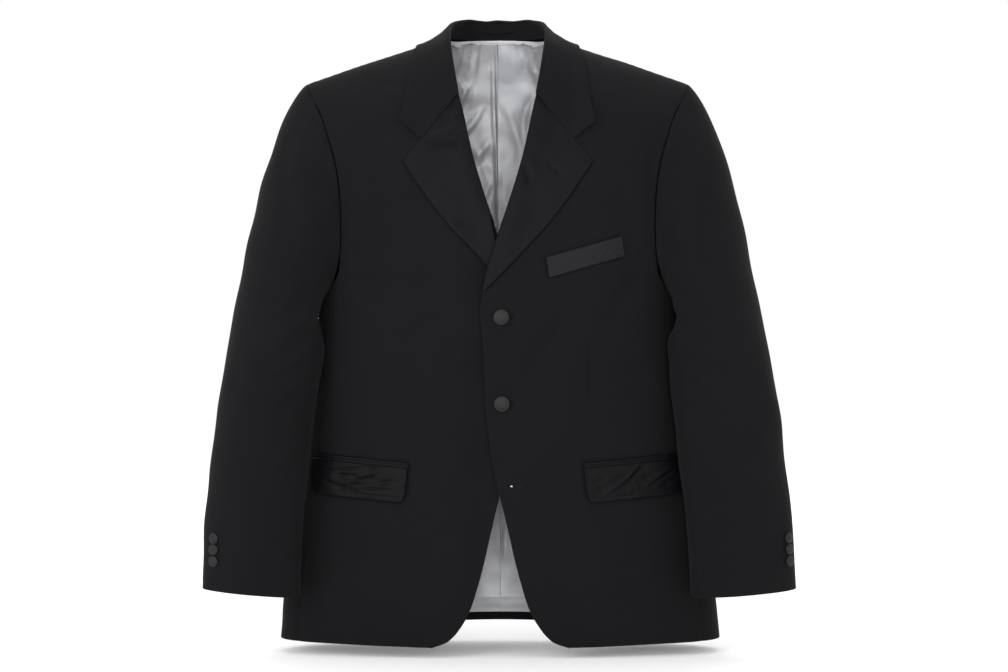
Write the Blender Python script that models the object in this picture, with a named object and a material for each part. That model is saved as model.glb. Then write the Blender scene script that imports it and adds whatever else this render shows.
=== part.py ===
"""A tuxedo jacket, upright and filled out as if worn, with nobody inside it.

Metres, +Z up. The front faces -Y and the wearer's left side is +X. The origin is at the neck,
midway between the shoulder seams, where the wearer holds the jacket up. Every piece of cloth is a
grid laid on one of two shapes: the body, built from sections at several heights, or a sleeve.
"""

import math
from collections import namedtuple

import bmesh
import bpy
from mathutils import Vector

CLOTH = 0.0020
SATIN = 0.0014
LINING = 0.0010
SEAM_GAP = 0.0003
SLEEVE_SEAM_GAP = 0.0006
LYING_GAP = 0.0011
LINING_GAP = 0.0008
LINING_SPLIT = 0.0015

NECK_HALF = 0.070
NECK_POINT_HEIGHT = 0.010
NECK_BACK_DEPTH = 0.068
NECK_BACK_HEIGHT = 0.018
NECK_POWER = 2.2
SHOULDER_SLOPE = 0.335
SHOULDER_HALF = 0.250
SHOULDER_ROUND = 0.090
HEM = -0.779
HEM_SWAY = 0.0035
HEM_REACH = 0.290
HEM_FRONT_DIP = 0.005
HEM_BACK_RISE = 0.011
UNDERARM = -0.322
SIDE_SEAM = 0.905
OVERLAP_DROP = 0.0065
OVERLAP_FROM = 0.015
OVERLAP_TO = 0.055
SECTION_POWER = 2.3
SLEEVE_START = -0.400
SLEEVE_CLEARANCE = 0.005
PUSH_BELOW = -0.310

BodyRow = namedtuple("BodyRow", "height half_width front_depth back_depth")
BODY = (
    BodyRow(-0.785, 0.2905, 0.080, 0.080),
    BodyRow(-0.700, 0.283, 0.086, 0.082),
    BodyRow(-0.600, 0.268, 0.091, 0.082),
    BodyRow(-0.500, 0.254, 0.095, 0.078),
    BodyRow(-0.430, 0.246, 0.099, 0.077),
    BodyRow(-0.335, 0.239, 0.107, 0.090),
    BodyRow(-0.270, 0.240, 0.107, 0.100),
    BodyRow(-0.200, 0.248, 0.101, 0.104),
    BodyRow(-0.150, 0.262, 0.093, 0.102),
    BodyRow(-0.100, 0.285, 0.083, 0.097),
    BodyRow(-0.050, 0.300, 0.073, 0.090),
    BodyRow(0.020, 0.305, 0.066, 0.082),
)

# The free edge of each front, measured from the centre towards its own side
EdgeRow = namedtuple("EdgeRow", "height from_centre")
FRONT_EDGE = (
    EdgeRow(-0.7840, 0.0910),
    EdgeRow(-0.7760, 0.0690),
    EdgeRow(-0.7580, 0.0520),
    EdgeRow(-0.7330, 0.0380),
    EdgeRow(-0.6670, 0.0190),
    EdgeRow(-0.6150, 0.0075),
    EdgeRow(-0.5800, -0.0010),
    EdgeRow(-0.5300, -0.0105),
    EdgeRow(-0.4620, -0.0173),
    EdgeRow(-0.4060, -0.0187),
    EdgeRow(-0.3430, -0.0233),
    EdgeRow(-0.3270, -0.0195),
    EdgeRow(-0.2990, -0.0130),
    EdgeRow(-0.2500, 0.0030),
    EdgeRow(-0.1590, 0.0320),
    EdgeRow(-0.0730, 0.0515),
    EdgeRow(-0.0450, 0.0605),
    EdgeRow(-0.0200, 0.0665),
    EdgeRow(0.0100, 0.0705),
)

ArmholeRow = namedtuple("ArmholeRow", "height front back")
ARMHOLE = (
    ArmholeRow(-0.322, 0.2140, 0.2140),
    ArmholeRow(-0.296, 0.2055, 0.2080),
    ArmholeRow(-0.248, 0.2020, 0.2050),
    ArmholeRow(-0.208, 0.2030, 0.2060),
    ArmholeRow(-0.167, 0.2080, 0.2100),
    ArmholeRow(-0.129, 0.2180, 0.2190),
    ArmholeRow(-0.094, 0.2300, 0.2310),
    ArmholeRow(-0.066, 0.2450, 0.2450),
    ArmholeRow(-0.050, 0.2500, 0.2500),
)
ARMHOLE_DROP = 0.016
ARMHOLE_GAP = 0.0008

SleeveRow = namedtuple("SleeveRow", "height outer inner forward half_depth")
SLEEVES = {
    "right": (
        SleeveRow(-0.400, 0.3490, 0.2225, 0.052, 0.057),
        SleeveRow(-0.476, 0.3600, 0.2340, 0.064, 0.050),
        SleeveRow(-0.575, 0.3703, 0.2445, 0.076, 0.042),
        SleeveRow(-0.638, 0.3756, 0.2500, 0.079, 0.036),
        SleeveRow(-0.720, 0.3772, 0.2520, 0.078, 0.031),
    ),
    "left": (
        SleeveRow(-0.400, 0.3500, 0.2160, 0.052, 0.057),
        SleeveRow(-0.476, 0.3625, 0.2260, 0.064, 0.050),
        SleeveRow(-0.575, 0.3730, 0.2370, 0.076, 0.042),
        SleeveRow(-0.638, 0.3790, 0.2430, 0.079, 0.037),
        SleeveRow(-0.720, 0.3828, 0.2485, 0.078, 0.034),
    ),
}
CUFF_OUTER = -0.7055
CUFF_INNER = -0.7165

# Angles round a sleeve: 0 is its outer edge, 90 its front, 180 its inner edge and 270 its back
HINDARM_AT_ARMHOLE = 300
HINDARM_AT_CUFF = 352
FOREARM_SEAM = 187
SLEEVE_SHOWN = (20, 160)

# How the sleeve leaves the armhole, as shares of its own direction, and how strongly
HEAD_MIDDLE = -0.190
LEAVE_OUT = 0.80
LEAVE_ROUND = 0.45
LEAVE_DOWN = 0.20
LEAVE_FALL = 0.50
LEAVE_STRENGTH = 0.56
HANG_STRENGTH = 0.90
HANG_STEP = 0.020

# Half of the collar, from the centre of the back to its front end
CollarRow = namedtuple("CollarRow", "fold_x fold_y fold_z edge_x edge_y edge_z neck_x neck_y neck_z")
COLLAR = (
    CollarRow(0.0000, 0.072, 0.0445, 0.0000, 0.086, -0.004, 0.0000, 0.0680, 0.0190),
    CollarRow(0.0200, 0.070, 0.0445, 0.0300, 0.084, -0.004, 0.0240, 0.0660, 0.0185),
    CollarRow(0.0400, 0.060, 0.0440, 0.0600, 0.072, -0.004, 0.0460, 0.0540, 0.0175),
    CollarRow(0.0535, 0.042, 0.0400, 0.0840, 0.048, -0.003, 0.0605, 0.0360, 0.0160),
    CollarRow(0.0615, 0.018, 0.0335, 0.0990, 0.020, -0.001, 0.0680, 0.0150, 0.0135),
    CollarRow(0.0645, -0.008, 0.0215, 0.1055, -0.006, -0.003, 0.0700, -0.0080, 0.0100),
    CollarRow(0.0638, -0.036, 0.0030, 0.1095, -0.034, -0.024, 0.0662, -0.0410, -0.0100),
    CollarRow(0.0603, -0.058, -0.0240, 0.1150, -0.060, -0.055, 0.0606, -0.0600, -0.0370),
    CollarRow(0.0560, -0.0725, -0.0500, 0.1195, -0.082, -0.085, 0.0545, -0.0700, -0.0570),
    CollarRow(0.0520, -0.082, -0.0735, 0.1235, -0.092, -0.109, 0.0510, -0.0760, -0.0700),
)
FOLD_RADIUS = 0.0030
NOTCH_ACROSS = 0.62
NOTCH_X = 0.0965
NOTCH_Z = -0.129
GORGE_TOP = -0.0745
LAPEL_END = -0.327
LapelRow = namedtuple("LapelRow", "height outer")
LAPEL_EDGE = (
    LapelRow(-0.3270, -0.0195),
    LapelRow(-0.2830, 0.0235),
    LapelRow(-0.2280, 0.0730),
    LapelRow(-0.1600, 0.1205),
)

POCKET_INNER = {"left": 0.1083, "right": 0.1180}
POCKET_OUTER = 0.2420
POCKET_TOP = -0.5525
POCKET_RISE = 0.087
FLAP_DEPTH = 0.0435
FLAP_LEAN = 0.0030
FLAP_CORNER = 0.011
FLAP_SWELL = 0.003
JET_HEIGHT = 0.0075

WELT_LEFT = (0.0645, -0.3084)
WELT_LENGTH = 0.0955
WELT_RISE = 0.290
WELT_HEIGHT = 0.0245
WELT_LEAN = 0.0032

BUTTON_X = 0.0034
FRONT_BUTTONS = {"upper": -0.359, "lower": -0.469}
BUTTON_SEAT = 0.0001
FRONT_BUTTON_RADIUS = 0.0101
CUFF_BUTTON_RADIUS = 0.0071
CUFF_BUTTONS = (-0.6395, -0.6539, -0.6688)
CUFF_BUTTON_ANGLE = {"right": 43, "left": 31}

# Soft hollows of the fronts and sleeves, seen from the front
FoldRow = namedtuple("FoldRow", "from_x from_z to_x to_z width depth")
FOLDS = {
    "left": (
        FoldRow(0.095, -0.345, 0.030, -0.445, 0.016, 0.0035),
        FoldRow(0.150, -0.150, 0.175, -0.300, 0.022, 0.0040),
        FoldRow(0.268, -0.130, 0.262, -0.330, 0.009, 0.0045),
        FoldRow(0.300, -0.390, 0.262, -0.450, 0.014, 0.0035),
        FoldRow(0.330, -0.610, 0.270, -0.640, 0.012, 0.0025),
    ),
    "right": (
        FoldRow(0.160, -0.150, 0.180, -0.300, 0.022, 0.0035),
        FoldRow(0.060, -0.350, 0.150, -0.400, 0.018, 0.0025),
        FoldRow(0.276, -0.120, 0.266, -0.280, 0.011, 0.0035),
        FoldRow(0.310, -0.400, 0.258, -0.450, 0.015, 0.0030),
    ),
}

# Creases of a flap: along it from its inner end and down it from its top, as shares
CreaseRow = namedtuple("CreaseRow", "from_along from_down to_along to_down width depth")
FLAP_CREASES = {
    "right": (
        CreaseRow(0.05, 0.42, 0.62, 0.50, 0.09, 0.0016),
        CreaseRow(0.25, 0.70, 0.80, 0.30, 0.08, 0.0016),
        CreaseRow(0.45, 0.90, 0.95, 0.62, 0.09, 0.0014),
    ),
    "left": (
        CreaseRow(0.10, 0.85, 0.50, 0.15, 0.10, 0.0018),
        CreaseRow(0.35, 0.90, 0.80, 0.20, 0.10, 0.0018),
        CreaseRow(0.70, 0.75, 0.98, 0.40, 0.09, 0.0012),
    ),
}

SIDES = {"left": 1, "right": -1}


def smooth_share(x):
    """0 below 0, 1 above 1, and a smooth rise between."""
    x = min(max(x, 0.0), 1.0)
    return x * x * (3 - 2 * x)


def mix(a, b, share):
    return a + (b - a) * share


def read_row(rows, column, height):
    """One column of a table at a height, on a smooth curve through its rows."""
    heights = [row[0] for row in rows]
    values = [getattr(row, column) for row in rows]
    if heights[0] > heights[-1]:
        heights.reverse()
        values.reverse()
    height = min(max(height, heights[0]), heights[-1])
    i = max(k for k in range(len(heights) - 1) if heights[k] <= height)
    slopes = [
        (values[k + 1] - values[k]) / (heights[k + 1] - heights[k]) for k in range(len(heights) - 1)
    ]

    def tangent(k):
        if k in (0, len(heights) - 1):
            return slopes[min(k, len(slopes) - 1)]
        if slopes[k - 1] * slopes[k] <= 0:
            return 0.0
        return 2 * slopes[k - 1] * slopes[k] / (slopes[k - 1] + slopes[k])

    span = heights[i + 1] - heights[i]
    t = (height - heights[i]) / span
    start = values[i] * (1 + 2 * t) * (1 - t) ** 2 + tangent(i) * span * t * (1 - t) ** 2
    end = values[i + 1] * t * t * (3 - 2 * t) - tangent(i + 1) * span * t * t * (1 - t)
    return start + end


def fold_depth(rows, x, z):
    """How far the folds near a place of the front view press the cloth in."""
    total = 0.0
    for row in rows:
        start, run = Vector((row[0], row[1])), Vector((row[2] - row[0], row[3] - row[1]))
        share = (Vector((x, z)) - start).dot(run) / run.length_squared
        nearest = start + run * min(max(share, 0.0), 1.0)
        away = (Vector((x, z)) - nearest).length / row.width
        taper = math.sin(math.pi * min(max(share, 0.04), 0.96)) ** 0.7
        total += row.depth * taper * math.exp(-away * away)
    return total


def seam_point(x, half):
    """Depth and height of the edge where a column of a front (-1) or a back (+1) ends at the top."""
    if half > 0 and x < NECK_HALF:
        share = x / NECK_HALF
        depth = NECK_BACK_DEPTH * (1 - share**NECK_POWER) ** (1 / NECK_POWER)
        return depth, mix(NECK_BACK_HEIGHT, NECK_POINT_HEIGHT, share * share)
    return 0.0, NECK_POINT_HEIGHT - SHOULDER_SLOPE * (max(x, NECK_HALF) - NECK_HALF)


def body_depth(x, z, half):
    """Y of the cloth at a distance x from the centre and a height z."""
    reach = read_row(BODY, "half_width", z)
    column = "front_depth" if half < 0 else "back_depth"
    share = min(x / reach, 1.0)
    y = half * read_row(BODY, column, z) * (1 - share**SECTION_POWER) ** (1 / SECTION_POWER)
    top_y, top_z = seam_point(x, half)
    above = min(max((z - top_z + SHOULDER_ROUND) / SHOULDER_ROUND, 0.0), 1.0)
    return mix(top_y, y, math.sqrt(1 - above * above))


def sway(z):
    """The hem sits a little towards the wearer's left."""
    return HEM_SWAY * smooth_share(z / HEM)


def body_point(side, x, z, half):
    """A point of the cloth. x is measured towards its own side, and sides are 1 left and -1 right."""
    y = body_depth(abs(x), z, half)
    if half < 0:
        name = "left" if side > 0 else "right"
        y += fold_depth(FOLDS[name], x, z)
        if side < 0:
            y += OVERLAP_DROP * (1 - smooth_share((x - OVERLAP_FROM) / (OVERLAP_TO - OVERLAP_FROM)))
    return Vector((side * x + sway(z), y, z))


def normal_at(surface, a, b, outward, step=0.001):
    """The direction out of a surface given as a function of two numbers."""
    first = surface(a + step, b) - surface(a - step, b)
    second = surface(a, b + step) - surface(a, b - step)
    normal = first.cross(second).normalized()
    return normal if normal.dot(outward) > 0 else -normal


def on_front(side, x, z, lift):
    """A point lifted off a front, for what lies on it."""
    surface = lambda a, b: body_point(side, a, b, -1)
    return surface(x, z) + normal_at(surface, x, z, Vector((0, -1, 0))) * lift


def hem_height(x, half):
    """The hem dips a little at the front and rises at the back."""
    share = smooth_share(x / HEM_REACH)
    return mix(HEM - HEM_FRONT_DIP, HEM, share) if half < 0 else mix(HEM + HEM_BACK_RISE, HEM, share)


def section_angle(x, z):
    """Turns a distance from the centre into an angle round the body's section."""
    share = min(abs(x) / read_row(BODY, "half_width", z), 1.0)
    return math.copysign(math.asin(share ** (SECTION_POWER / 2)), x)


def section_x(angle, z):
    share = abs(math.sin(angle)) ** (2 / SECTION_POWER)
    return math.copysign(read_row(BODY, "half_width", z) * share, angle)


LOW_ROWS = (0.0, 0.004, 0.011, 0.022, 0.038, 0.062)
LOW_EVEN = 7
HIGH_EVEN = 5
ARCH_ROWS = 5


def panel_rows():
    """The levels of a front or back: (stage, share) from the hem to the shoulder."""
    rows = [("low", drop / (UNDERARM - HEM)) for drop in LOW_ROWS]
    first = rows[-1][1]
    rows += [("low", mix(first, 1.0, (k + 1) / LOW_EVEN)) for k in range(LOW_EVEN)]
    rows += [("high", (k + 1) / HIGH_EVEN) for k in range(HIGH_EVEN)]
    rows += [("arch", (k + 1) / ARCH_ROWS) for k in range(ARCH_ROWS)]
    return rows


def row_height(stage, share, x, half):
    top = seam_point(abs(x), half)[1]
    foot = top - SHOULDER_ROUND
    if stage == "low":
        return mix(hem_height(abs(x), half), UNDERARM, share)
    if stage == "high":
        return mix(UNDERARM, foot, share)
    return foot + SHOULDER_ROUND * math.sin(share * math.pi / 2)


def outer_edge(z, half):
    """How far out a front or back reaches: to the side seam, or to the armhole above it."""
    if z <= UNDERARM:
        return SIDE_SEAM * read_row(BODY, "half_width", z)
    return read_row(ARMHOLE, "front" if half < 0 else "back", z)


def panel_place(stage, share, across, half):
    """Distance from the centre and height of one grid point of a front or back."""
    z = UNDERARM
    x = 0.1
    for _ in range(12):
        z = row_height(stage, share, x, half)
        inner = read_row(FRONT_EDGE, "from_centre", z) if half < 0 else 0.0
        outer = outer_edge(z, half)
        if stage == "arch" and share == 1.0:
            inner = NECK_HALF if half < 0 else 0.0
            outer = SHOULDER_HALF
        if stage == "low":
            angle = mix(section_angle(inner, z), section_angle(outer, z), across)
            x = section_x(angle, z)
        else:
            low = section_x(mix(section_angle(inner, z), section_angle(outer, z), across), z)
            even = mix(inner, outer, across)
            x = low if stage == "high" and share < 0.01 else mix(low, even, 0.5)
    return x, z


def slope_along(points, i, j, di, dj):
    """How a grid changes along one of its two directions, also at its borders."""
    before, after = points.get((i - di, j - dj)), points.get((i + di, j + dj))
    here = points[i, j]
    if before is not None and after is not None:
        return after - before
    way = 1 if before is None else -1
    near = points[i + way * di, j + way * dj]
    far = points.get((i + 2 * way * di, j + 2 * way * dj))
    if far is None:
        return (near - here) * way
    return (near * 4 - far - here * 3) * way


def grid_normals(points, outward):
    """The direction out of the cloth at each point of a grid."""
    normals = {}
    for (i, j), here in points.items():
        across, up = slope_along(points, i, j, 1, 0), slope_along(points, i, j, 0, 1)
        normal = across.cross(up)
        if normal.length < 1e-9:
            near = (i, j + 1) if (i, j + 1) in points else (i, j - 1)
            normal = slope_along(points, *near, 1, 0).cross(up)
        normals[i, j] = normal.normalized()
    facing = sum(normals[key].dot(outward(points[key])) for key in points)
    if facing < 0:
        normals = {key: -normal for key, normal in normals.items()}
    return normals


def grid_object(
    name, columns, rows, place, outward, thickness, material, collection, lift=0.0, gap=SEAM_GAP, beyond=0
):
    """A piece of cloth: points from place(i, j), lifted off what they lie on, and a wall behind.

    beyond columns are also asked for past both sides, so that a seam has the same slope on both pieces.
    """
    wide = {(i, j): place(i, j) for i in range(-beyond, columns + 1 + beyond) for j in range(rows + 1)}
    normals = grid_normals(wide, outward)
    points = {(i, j): point for (i, j), point in wide.items() if 0 <= i <= columns}
    outer = {}
    for (i, j), point in points.items():
        outer[i, j] = point + normals[i, j] * lift
        borders = ((1, 0, i == 0), (-1, 0, i == columns), (0, 1, j == 0), (0, -1, j == rows))
        for di, dj, border in borders:
            step = points.get((i + di, j + dj), point) - point
            if border and step.length > 1e-5:
                outer[i, j] += step.normalized() * (gap / 2)
    mesh = bpy.data.meshes.new(name)
    bm = bmesh.new()
    bmesh.ops.create_grid(bm, x_segments=columns, y_segments=rows, size=1)
    behind = bmesh.ops.extrude_face_region(bm, geom=bm.faces[:])["geom"]
    behind = {item for item in behind if isinstance(item, bmesh.types.BMVert)}
    for vert in bm.verts:
        key = round((vert.co.x + 1) / 2 * columns), round((vert.co.y + 1) / 2 * rows)
        vert.co = outer[key] - normals[key] * (thickness if vert in behind else 0)
    bmesh.ops.remove_doubles(bm, verts=bm.verts, dist=1e-5)
    bmesh.ops.recalc_face_normals(bm, faces=bm.faces)
    for face in bm.faces:
        face.smooth = True
    bm.to_mesh(mesh)
    bm.free()
    mesh.set_sharp_from_angle(angle=math.radians(50))
    mesh.materials.append(material)
    obj = bpy.data.objects.new(name, mesh)
    collection.objects.link(obj)
    return obj


def from_axis(point):
    """Outwards from the middle of the body."""
    return Vector((point.x, point.y, 0.0))


def make_front(side_name, cloth, collection):
    side = SIDES[side_name]
    rows = panel_rows()
    columns = 11

    def place(i, j):
        x, z = panel_place(*rows[j], i / columns, -1)
        return body_point(side, x, z, -1)

    name = "front_" + side_name
    return grid_object(name, columns, len(rows) - 1, place, from_axis, CLOTH, cloth, collection)


def make_back(side_name, cloth, collection):
    side = SIDES[side_name]
    rows = panel_rows()
    columns = BACK_COLUMNS

    def place(i, j):
        x, z = panel_place(*rows[j], i / columns, 1)
        return body_point(side, x, z, 1)

    name = "back_" + side_name
    return grid_object(name, columns, len(rows) - 1, place, from_axis, CLOTH, cloth, collection)


BACK_COLUMNS = 8
SIDE_COLUMNS = 6


def side_place(side, share, across):
    """A point of the underarm panel: share runs up it and across runs from front to back."""
    drop = ARMHOLE_DROP * math.sin(math.pi * across)
    turn = mix(-1, 1, across) * (math.pi / 2 - math.asin(SIDE_SEAM ** (SECTION_POWER / 2)))
    half = -1 if turn < 0 else 1
    z = UNDERARM
    for _ in range(6):
        x = section_x(math.pi / 2 - abs(turn), z)
        z = mix(hem_height(x, half), UNDERARM - drop, share)
    return body_point(side, section_x(math.pi / 2 - abs(turn), z), z, half)


def make_side_panel(side_name, cloth, collection):
    side = SIDES[side_name]
    levels = [share for stage, share in panel_rows() if stage == "low"]

    def place(i, j):
        return side_place(side, levels[j], i / SIDE_COLUMNS)

    name = "side_panel_" + side_name
    rows = len(levels) - 1
    return grid_object(name, SIDE_COLUMNS, rows, place, from_axis, CLOTH, cloth, collection)


def armhole_ring(side):
    """The points round an armhole, from the shoulder down the front and up the back."""
    upper = [row for row in panel_rows() if row[0] != "low"]
    front = [body_point(side, *panel_place(*row, 1.0, -1), -1) for row in reversed(upper)]
    under = [side_place(side, 1.0, i / SIDE_COLUMNS) for i in range(SIDE_COLUMNS + 1)]
    back = [body_point(side, *panel_place(*row, 1.0, 1), 1) for row in upper]
    return front + under + back[:-1]


def clear_of_body(side, point, clearance):
    """Moves a point out of the body's section, level, so that it stays this far from the cloth."""
    x = side * (point.x - sway(point.z))
    half = -1 if point.y < 0 else 1
    reach = read_row(BODY, "half_width", point.z) + clearance
    depth = read_row(BODY, "front_depth" if half < 0 else "back_depth", point.z) + clearance
    share = (abs(x / reach) ** SECTION_POWER + abs(point.y / depth) ** SECTION_POWER) ** (
        1 / SECTION_POWER
    )
    if share >= 1 or point.z > PUSH_BELOW:
        return point
    grow = 1 / share
    return Vector((side * x * grow + sway(point.z), point.y * grow, point.z))


def sleeve_section(side_name, angle, z):
    """A point of the hanging part of a sleeve, at an angle round it and a height."""
    side = SIDES[side_name]
    rows = SLEEVES[side_name]
    outer, inner = read_row(rows, "outer", z), read_row(rows, "inner", z)
    middle, reach = (outer + inner) / 2, (outer - inner) / 2
    turn = math.radians(angle)
    y = -read_row(rows, "forward", z) - read_row(rows, "half_depth", z) * math.sin(turn)
    return Vector((side * (middle + reach * math.cos(turn)), y, z))


HEAD_ROWS = 8
ARM_ROWS = 9
RING = len(armhole_ring(1))


def seam_index(angle):
    return round(angle / 360 * RING)


def ring_angle(index, row):
    """The angle of a grid line round the sleeve. The hindarm seam turns outwards down the arm."""
    hindarm, forearm = seam_index(HINDARM_AT_ARMHOLE), seam_index(FOREARM_SEAM)
    start, forearm_angle = 360 * index / RING, 360 * forearm / RING
    if forearm <= index <= hindarm:
        end = mix(forearm_angle, HINDARM_AT_CUFF, (index - forearm) / (hindarm - forearm))
    else:
        past = index - hindarm + (RING if index < forearm else 0)
        end = mix(HINDARM_AT_CUFF, 360 + forearm_angle, past / (forearm + RING - hindarm))
        start += 360 if index < forearm else 0
    return mix(start, end, smooth_share((row - HEAD_ROWS) / ARM_ROWS))


def sleeve_point(side_name, index, row, ring):
    """A point of a sleeve: index runs round it from the shoulder and row runs down it."""
    side = SIDES[side_name]
    angle = ring_angle(index % RING, row)
    cuff = mix(CUFF_INNER, CUFF_OUTER, (1 + math.cos(math.radians(angle))) / 2)
    if row > HEAD_ROWS:
        z = mix(SLEEVE_START, cuff, (row - HEAD_ROWS) / ARM_ROWS)
        point = clear_of_body(side, sleeve_section(side_name, angle, z), SLEEVE_CLEARANCE)
    else:
        end = clear_of_body(
            side, sleeve_section(side_name, angle, SLEEVE_START), SLEEVE_CLEARANCE
        )
        at_ring = ring[index % RING]
        away = Vector((0, at_ring.y, at_ring.z - HEAD_MIDDLE)).normalized()
        leave = Vector((side * LEAVE_OUT, LEAVE_ROUND * away.y, -LEAVE_DOWN - LEAVE_FALL * abs(away.z)))
        leave.normalize()
        below = sleeve_section(side_name, angle, SLEEVE_START - HANG_STEP)
        hang = (below - sleeve_section(side_name, angle, SLEEVE_START)).normalized()
        far = (end - at_ring).length
        start = at_ring + Vector((side * ARMHOLE_GAP, 0, 0))
        t = row / HEAD_ROWS
        point = (
            start * (1 + 2 * t) * (1 - t) ** 2
            + leave * (LEAVE_STRENGTH * far * t * (1 - t) ** 2)
            + end * t * t * (3 - 2 * t)
            - hang * (HANG_STRENGTH * far * t * t * (1 - t))
        )
        if row > 0:
            point = clear_of_body(side, point, SLEEVE_CLEARANCE * min(1.0, row / 3))
    if SLEEVE_SHOWN[0] < angle % 360 < SLEEVE_SHOWN[1]:
        shown = side * point.x
        point = point + Vector((0, fold_depth(FOLDS[side_name], shown, point.z), 0))
    return point


def make_sleeve(side_name, cloth, collection):
    """The top sleeve goes round the front from one seam to the other, and the under sleeve the rest."""
    side = SIDES[side_name]
    ring = armhole_ring(side)
    hindarm, forearm = seam_index(HINDARM_AT_ARMHOLE), seam_index(FOREARM_SEAM)
    spans = {"top": (hindarm - RING, forearm), "under": (forearm, hindarm)}
    middle = Vector((side * 0.29, -0.05, 0))

    def outward(point):
        return Vector((point.x - middle.x, point.y - middle.y, max(point.z + 0.15, 0)))

    made = []
    for part, (first, last) in spans.items():

        def place(i, j, first=first):
            return sleeve_point(side_name, (first + i) % RING, j, ring)

        name = f"{part}_sleeve_{side_name}"
        columns, rows = last - first, HEAD_ROWS + ARM_ROWS
        piece = grid_object(
            name, columns, rows, place, outward, CLOTH, cloth, collection, gap=SLEEVE_SEAM_GAP, beyond=1
        )
        made.append(piece)
    return made


def make_lapel(side_name, satin, collection):
    """A facing on the front from the roll line to its own edge, up to the slanted gorge."""
    side = SIDES[side_name]
    columns, rows = 7, 14

    def place(i, j):
        share = j / rows
        roll_z = mix(LAPEL_END, GORGE_TOP, share)
        edge_z = mix(LAPEL_END, LAPEL_EDGE[-1].height, share)
        roll_x = read_row(FRONT_EDGE, "from_centre", roll_z)
        edge_x = read_row(LAPEL_EDGE, "outer", edge_z)
        x, z = mix(roll_x, edge_x, i / columns), mix(roll_z, edge_z, i / columns)
        return on_front(side, x, z, LYING_GAP + SATIN)

    name = "lapel_" + side_name
    return grid_object(name, columns, rows, place, from_axis, SATIN, satin, collection)


PROFILE_STEPS = 14
PROFILE_TAIL = 4
PROFILE_DROP = 0.020


def shoulder_profile(x, half):
    """Depths and heights down a front or back at one distance from the centre, from the top."""
    top = seam_point(x, half)[1]
    turns = [math.pi / 2 * (1 - k / PROFILE_STEPS) for k in range(PROFILE_STEPS + 1)]
    heights = [top - SHOULDER_ROUND + SHOULDER_ROUND * math.sin(turn) for turn in turns]
    heights += [heights[-1] - PROFILE_DROP * (k + 1) for k in range(PROFILE_TAIL)]
    return [Vector((body_depth(x, z, half), z)) for z in heights]


def above_body(point, lift):
    """Lifts a point that is nearer to the body or the shoulders than this."""
    x = abs(point.x)
    profile = shoulder_profile(x, 1)
    if x >= NECK_HALF:
        profile = shoulder_profile(x, -1)[:0:-1] + profile
    elif point.y < 0:
        profile = shoulder_profile(x, -1)[::-1]
    flat = Vector((point.y, point.z))
    best = None
    for start, end in zip(profile, profile[1:]):
        run = end - start
        share = min(max((flat - start).dot(run) / run.length_squared, 0.0), 1.0)
        nearest = start + run * share
        out = Vector((-run.y, run.x)).normalized()
        if best is None or (flat - nearest).length < best[0]:
            best = (flat - nearest).length, nearest, out
    far, nearest, out = best
    if (flat - nearest).dot(out) < 0:
        far = -far
    if far >= lift:
        return point
    flat = nearest + out * lift
    return Vector((point.x, flat.x, flat.y))


COLLAR_ACROSS = (0.12, 0.3, 0.46, 0.62, 0.81, 1.0)
FOLD_TURNS = (180, 120, 60)
COLLAR_ROWS = 26
COLLAR_LIFT = 0.0037
STAND_REACH = 0.61


def collar_frame(position):
    """The collar table at a position from -1, its right end, to 1, its left end."""
    side = 1 if position >= 0 else -1
    place = abs(position) * (len(COLLAR) - 1)
    k = min(int(place), len(COLLAR) - 2)
    t = place - k
    before, start, end, after = (COLLAR[min(max(k + n, 0), len(COLLAR) - 1)] for n in (-1, 0, 1, 2))
    values = []
    for a, b, c, d in zip(before, start, end, after, strict=True):
        bow = (2 * a - 5 * b + 4 * c - d) * t + (3 * b - a - 3 * c + d) * t * t
        values.append(b + 0.5 * t * (c - a + bow))
    fold, edge, neck = (Vector(values[n : n + 3]) for n in (0, 3, 6))
    for point in (fold, edge, neck):
        point.x *= side
    return fold, edge, neck


def collar_directions(position):
    """The way up out of the fold, and the way outwards from it towards the collar's edge."""
    fold, edge, _ = collar_frame(position)
    front = smooth_share((abs(position) - 0.35) / 0.5)
    up = Vector((0, 0, 1)).lerp(Vector((math.copysign(0.15, position), -0.95, 0.2)), front)
    up.normalize()
    away = edge - fold
    away -= up * away.dot(up)
    return fold, edge, up, away.normalized()


def make_collar(wool, collection):
    """The turned-down collar: a round fold and then a leaf that lies on the shoulders."""
    columns = len(FOLD_TURNS) + len(COLLAR_ACROSS) - 1

    def place(i, j):
        position = mix(-1, 1, j / COLLAR_ROWS)
        fold, edge, up, away = collar_directions(position)
        if i < len(FOLD_TURNS):
            turn = math.radians(FOLD_TURNS[i])
            ring = away * math.cos(turn) + up * math.sin(turn)
            start = fold - up * FOLD_RADIUS + ring * FOLD_RADIUS
            return start
        across = COLLAR_ACROSS[i - len(FOLD_TURNS)]
        point = fold.lerp(edge, across)
        bend = smooth_share((abs(position) - 0.86) / 0.14)
        straight = fold.lerp(edge, NOTCH_ACROSS)
        notch = Vector((math.copysign(NOTCH_X, position), straight.y, NOTCH_Z))
        tent = across / NOTCH_ACROSS if across < NOTCH_ACROSS else (1 - across) / (1 - NOTCH_ACROSS)
        point += (notch - straight) * (bend * tent)
        return above_body(point, COLLAR_LIFT)

    out = lambda point: Vector((point.x, point.y, 0.15 + point.z))
    return grid_object("collar_fall", columns, COLLAR_ROWS, place, out, CLOTH, wool, collection)


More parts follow.
